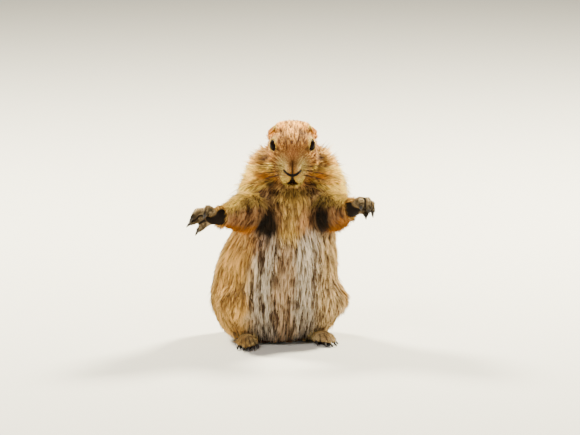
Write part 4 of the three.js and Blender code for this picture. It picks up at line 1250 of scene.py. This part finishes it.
def on_face(across, up, rise=0.0):
    """The place on the skin that shows at a place in the front view, lifted toward the viewer."""
    middle = UP_IN_VIEW * (up + EYES_IN_VIEW[1])
    start = np.array([across + EYES_IN_VIEW[0], 0, 0]) + middle - TO_FACE * VIEW_START
    hit = SKIN_TREE.ray_cast(Vector(metres(start)), Vector(TO_FACE))
    return millimetres(hit[0]) - TO_FACE * rise


def make_nose():
    """The bare black line of the nostrils, the split below it and the groove above it."""
    steps = np.linspace(-1, 1, 25)
    nostrils = [on_face(t * NOSTRIL_HALF_WIDTH, NOSTRIL_LOW + NOSTRIL_RISE * t * t, 0.35) for t in steps]
    split = [on_face(0, height, 0.3) for height in np.linspace(NOSTRIL_LOW, MOUTH_TOP - 1, 8)]
    groove = [on_face(0, height, 0.1) for height in np.linspace(NOSTRIL_LOW + 7, NOSTRIL_LOW, 8)]
    radii = [0.4 + 0.85 * (1 - np.abs(steps) ** 3), np.full(8, 0.95), np.linspace(0.1, 0.55, 8)]
    return make_tubes("nose_leather", [nostrils, split, groove], radii, NOSE)


# The rim's size as shares of the opening in the solids, in mm how far out it lies, and its half width
RIM_LONG, RIM_SHORT, RIM_OUT, RIM_HALF_WIDTH = 0.92, 0.95, 0.35, 0.5


def make_lids(side):
    """A dark rim that follows the eye's slanted opening."""
    s = SIDES[side]
    forward, long_way, short_way = gaze(side)
    centre = EYE_CENTRE * (s, 1, 1)
    line = []
    for angle in np.linspace(0, 2 * math.pi, 41):
        a = LID_HALF_LENGTH * RIM_LONG * math.cos(angle)
        b = LID_HALF_HEIGHT * RIM_SHORT * math.sin(angle) * (1 - 0.25 * abs(math.cos(angle)) ** 3)
        reach = math.sqrt(max(EYE_RADIUS**2 - a * a - b * b, 1))
        line.append(centre + (EYE_RADIUS + RIM_OUT) * unit(forward * reach + long_way * a + short_way * b))
    return make_tubes(f"eyelids_{side}", [from_head(line)], [np.full(len(line), RIM_HALF_WIDTH)], NOSE)


WHISKER_ROWS = ((-19.5, 4), (-23.0, 5), (-26.5, 4))  # height in the front view, and number


def make_whiskers(side):
    """Long tapered whiskers that fan out from the pad beside the nose and droop toward their tips."""
    s = SIDES[side]
    draw = np.random.default_rng(50 + (side == "left"))
    lines = []
    for height, number in WHISKER_ROWS:
        for i in range(number):
            root = on_face(s * (7.5 + 2.1 * i), height - 0.4 * i + draw.uniform(-0.5, 0.5), -0.6)
            length = draw.uniform(24, 40) * (1 - 0.08 * i)
            rise = 0.12 + 0.05 * (height + 23) + draw.uniform(-0.12, 0.12)
            way = unit(np.array([s * 1.0, -0.45 + 0.12 * i, rise]))
            steps = np.linspace(0, 1, 9)[:, None]
            bend = np.array([s * 0.04, 0.34, -0.3]) * length * steps**2
            lines.append(root + way * length * steps + bend)
    taper = 0.17 * (1 - np.linspace(0, 1, 9)) + 0.03
    return make_tubes(f"whiskers_{side}", lines, [taper] * len(lines), WHISKER, 0)


eyes = {side: make_eye(side) for side in SIDES}
nose = make_nose()
lids = [make_lids(side) for side in SIDES]
whiskers = [make_whiskers(side) for side in SIDES]

# Claws

def make_claw(name):
    """A smooth curved claw along the middle of the solid one, wide at its root and sharp at its tip."""
    places = millimetres(vertex_places(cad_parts[name].data))
    limb = "hand" if "hand" in name else "foot"
    side = "left" if "left" in name else "right"
    limb_start = np.array(ARM[side][2], float) if limb == "hand" else FOOT_LINE[side][0]
    tip = places[np.argmax(np.linalg.norm(places - limb_start, axis=1))]
    far = np.linalg.norm(places - tip, axis=1)
    root = places[far > 0.82 * far.max()].mean(0)
    axis = unit(tip - root)
    share = (places - root) @ axis / np.linalg.norm(tip - root)
    slices = [places[np.abs(share - at) < 0.2].mean(0) for at in (0.3, 0.6)]
    line = smooth_curve([root - 0.8 * axis, slices[0], slices[1], tip], 5)
    at_root = places[share < 0.25]
    radius = np.linalg.norm(np.cross(at_root - root, axis), axis=1).max()
    along = np.linspace(0, 1, len(line))
    radii = 1.2 * radius * (1 - along**1.8) + 0.06
    return make_tubes(name.replace("claw_", "horn_"), [line], [radii], HORN, 5)


claws = {name: make_claw(name) for name in CLAWS}

# What stands for what

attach(skin, "root")
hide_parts(*FLESH)
for piece in coat_pieces:
    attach(piece, "root")
for piece in (nose, *lids, *whiskers):
    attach(piece, "root")
for name, claw in claws.items():
    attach(claw, "root")
    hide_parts(name)
for side, eye in eyes.items():
    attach(eye, "root")
    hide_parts(f"eye_{side}")

# Floor, light and camera

def make_floor():
    bpy.ops.mesh.primitive_plane_add(size=14, location=(0, 0, 0))
    floor = bpy.context.active_object
    floor.name = "floor"
    material, tree, _ = new_material("Matt paper floor")
    values = {"Base Color": linear("#d9d7d2"), "Roughness": 0.9}
    shader = add_node(tree, "ShaderNodeBsdfPrincipled", {}, values)
    add_node(tree, "ShaderNodeOutputMaterial", {}, {"Surface": shader})
    floor.data.materials.append(material)


def aim(item, target):
    way = np.asarray(target, float) - np.array(item.location)
    flat = math.hypot(way[0], way[1])
    item.rotation_euler = (math.atan2(flat, -way[2]), 0, math.atan2(-way[0], way[1]))


# Each lamp: its place and width in metres, its watts, and its colour
LAMPS = {
    "key": ((-1.1, -1.7, 1.9), 0.6, 44, (1.0, 0.95, 0.86)),
    "fill": ((1.6, -1.9, 0.9), 1.2, 12, (1.0, 0.96, 0.9)),
    "rim_left": ((0.95, 0.8, 1.25), 0.4, 160, (1.0, 0.93, 0.7)),
    "rim_right": ((-0.95, 0.8, 1.25), 0.4, 120, (1.0, 0.93, 0.7)),
}
LAMPS_AIM = metres((10, -15, 120))


def add_lamp(name, place, size, power, colour):
    light = bpy.data.lights.new(name, "AREA")
    light.shape = "DISK"
    light.size = size
    light.energy = power
    light.color = colour
    item = bpy.data.objects.new(name, light)
    item.location = place
    aim(item, LAMPS_AIM)
    bpy.context.collection.objects.link(item)


def make_world():
    world = bpy.data.worlds.new("Studio")
    world.use_nodes = True
    background = world.node_tree.nodes["Background"]
    background.inputs["Color"].default_value = linear("#f4efe6")
    background.inputs["Strength"].default_value = 0.24
    bpy.context.scene.world = world


CAMERA_DISTANCE = 5.0
CAMERA_ELEVATION = math.radians(10)
MM_PER_PIXEL = 0.9  # at the camera's target distance
IMAGE_WIDTH = 580  # pixels
SENSOR_WIDTH = 36.0
PICTURE_MIDDLE = (0.0108, 0.11025)  # metres to the right of the frame's origin, and above it


def make_camera():
    forward = np.array([0, math.cos(CAMERA_ELEVATION), -math.sin(CAMERA_ELEVATION)])
    right = np.array([1.0, 0, 0])
    up = np.cross(right, forward)
    to_right, above = PICTURE_MIDDLE
    camera = bpy.data.cameras.new("camera")
    camera.sensor_width = SENSOR_WIDTH
    camera.lens = SENSOR_WIDTH * CAMERA_DISTANCE / (IMAGE_WIDTH * MM_PER_PIXEL * 0.001)
    camera.clip_end = 100
    item = bpy.data.objects.new("camera", camera)
    item.location = metres((0, 0, 0)) - forward * CAMERA_DISTANCE + right * to_right + up * above
    item.rotation_euler = (math.pi / 2 - CAMERA_ELEVATION, 0, 0)
    bpy.context.collection.objects.link(item)
    bpy.context.scene.camera = item


make_floor()
make_world()
for name, lamp in LAMPS.items():
    add_lamp(name, *lamp)
make_camera()
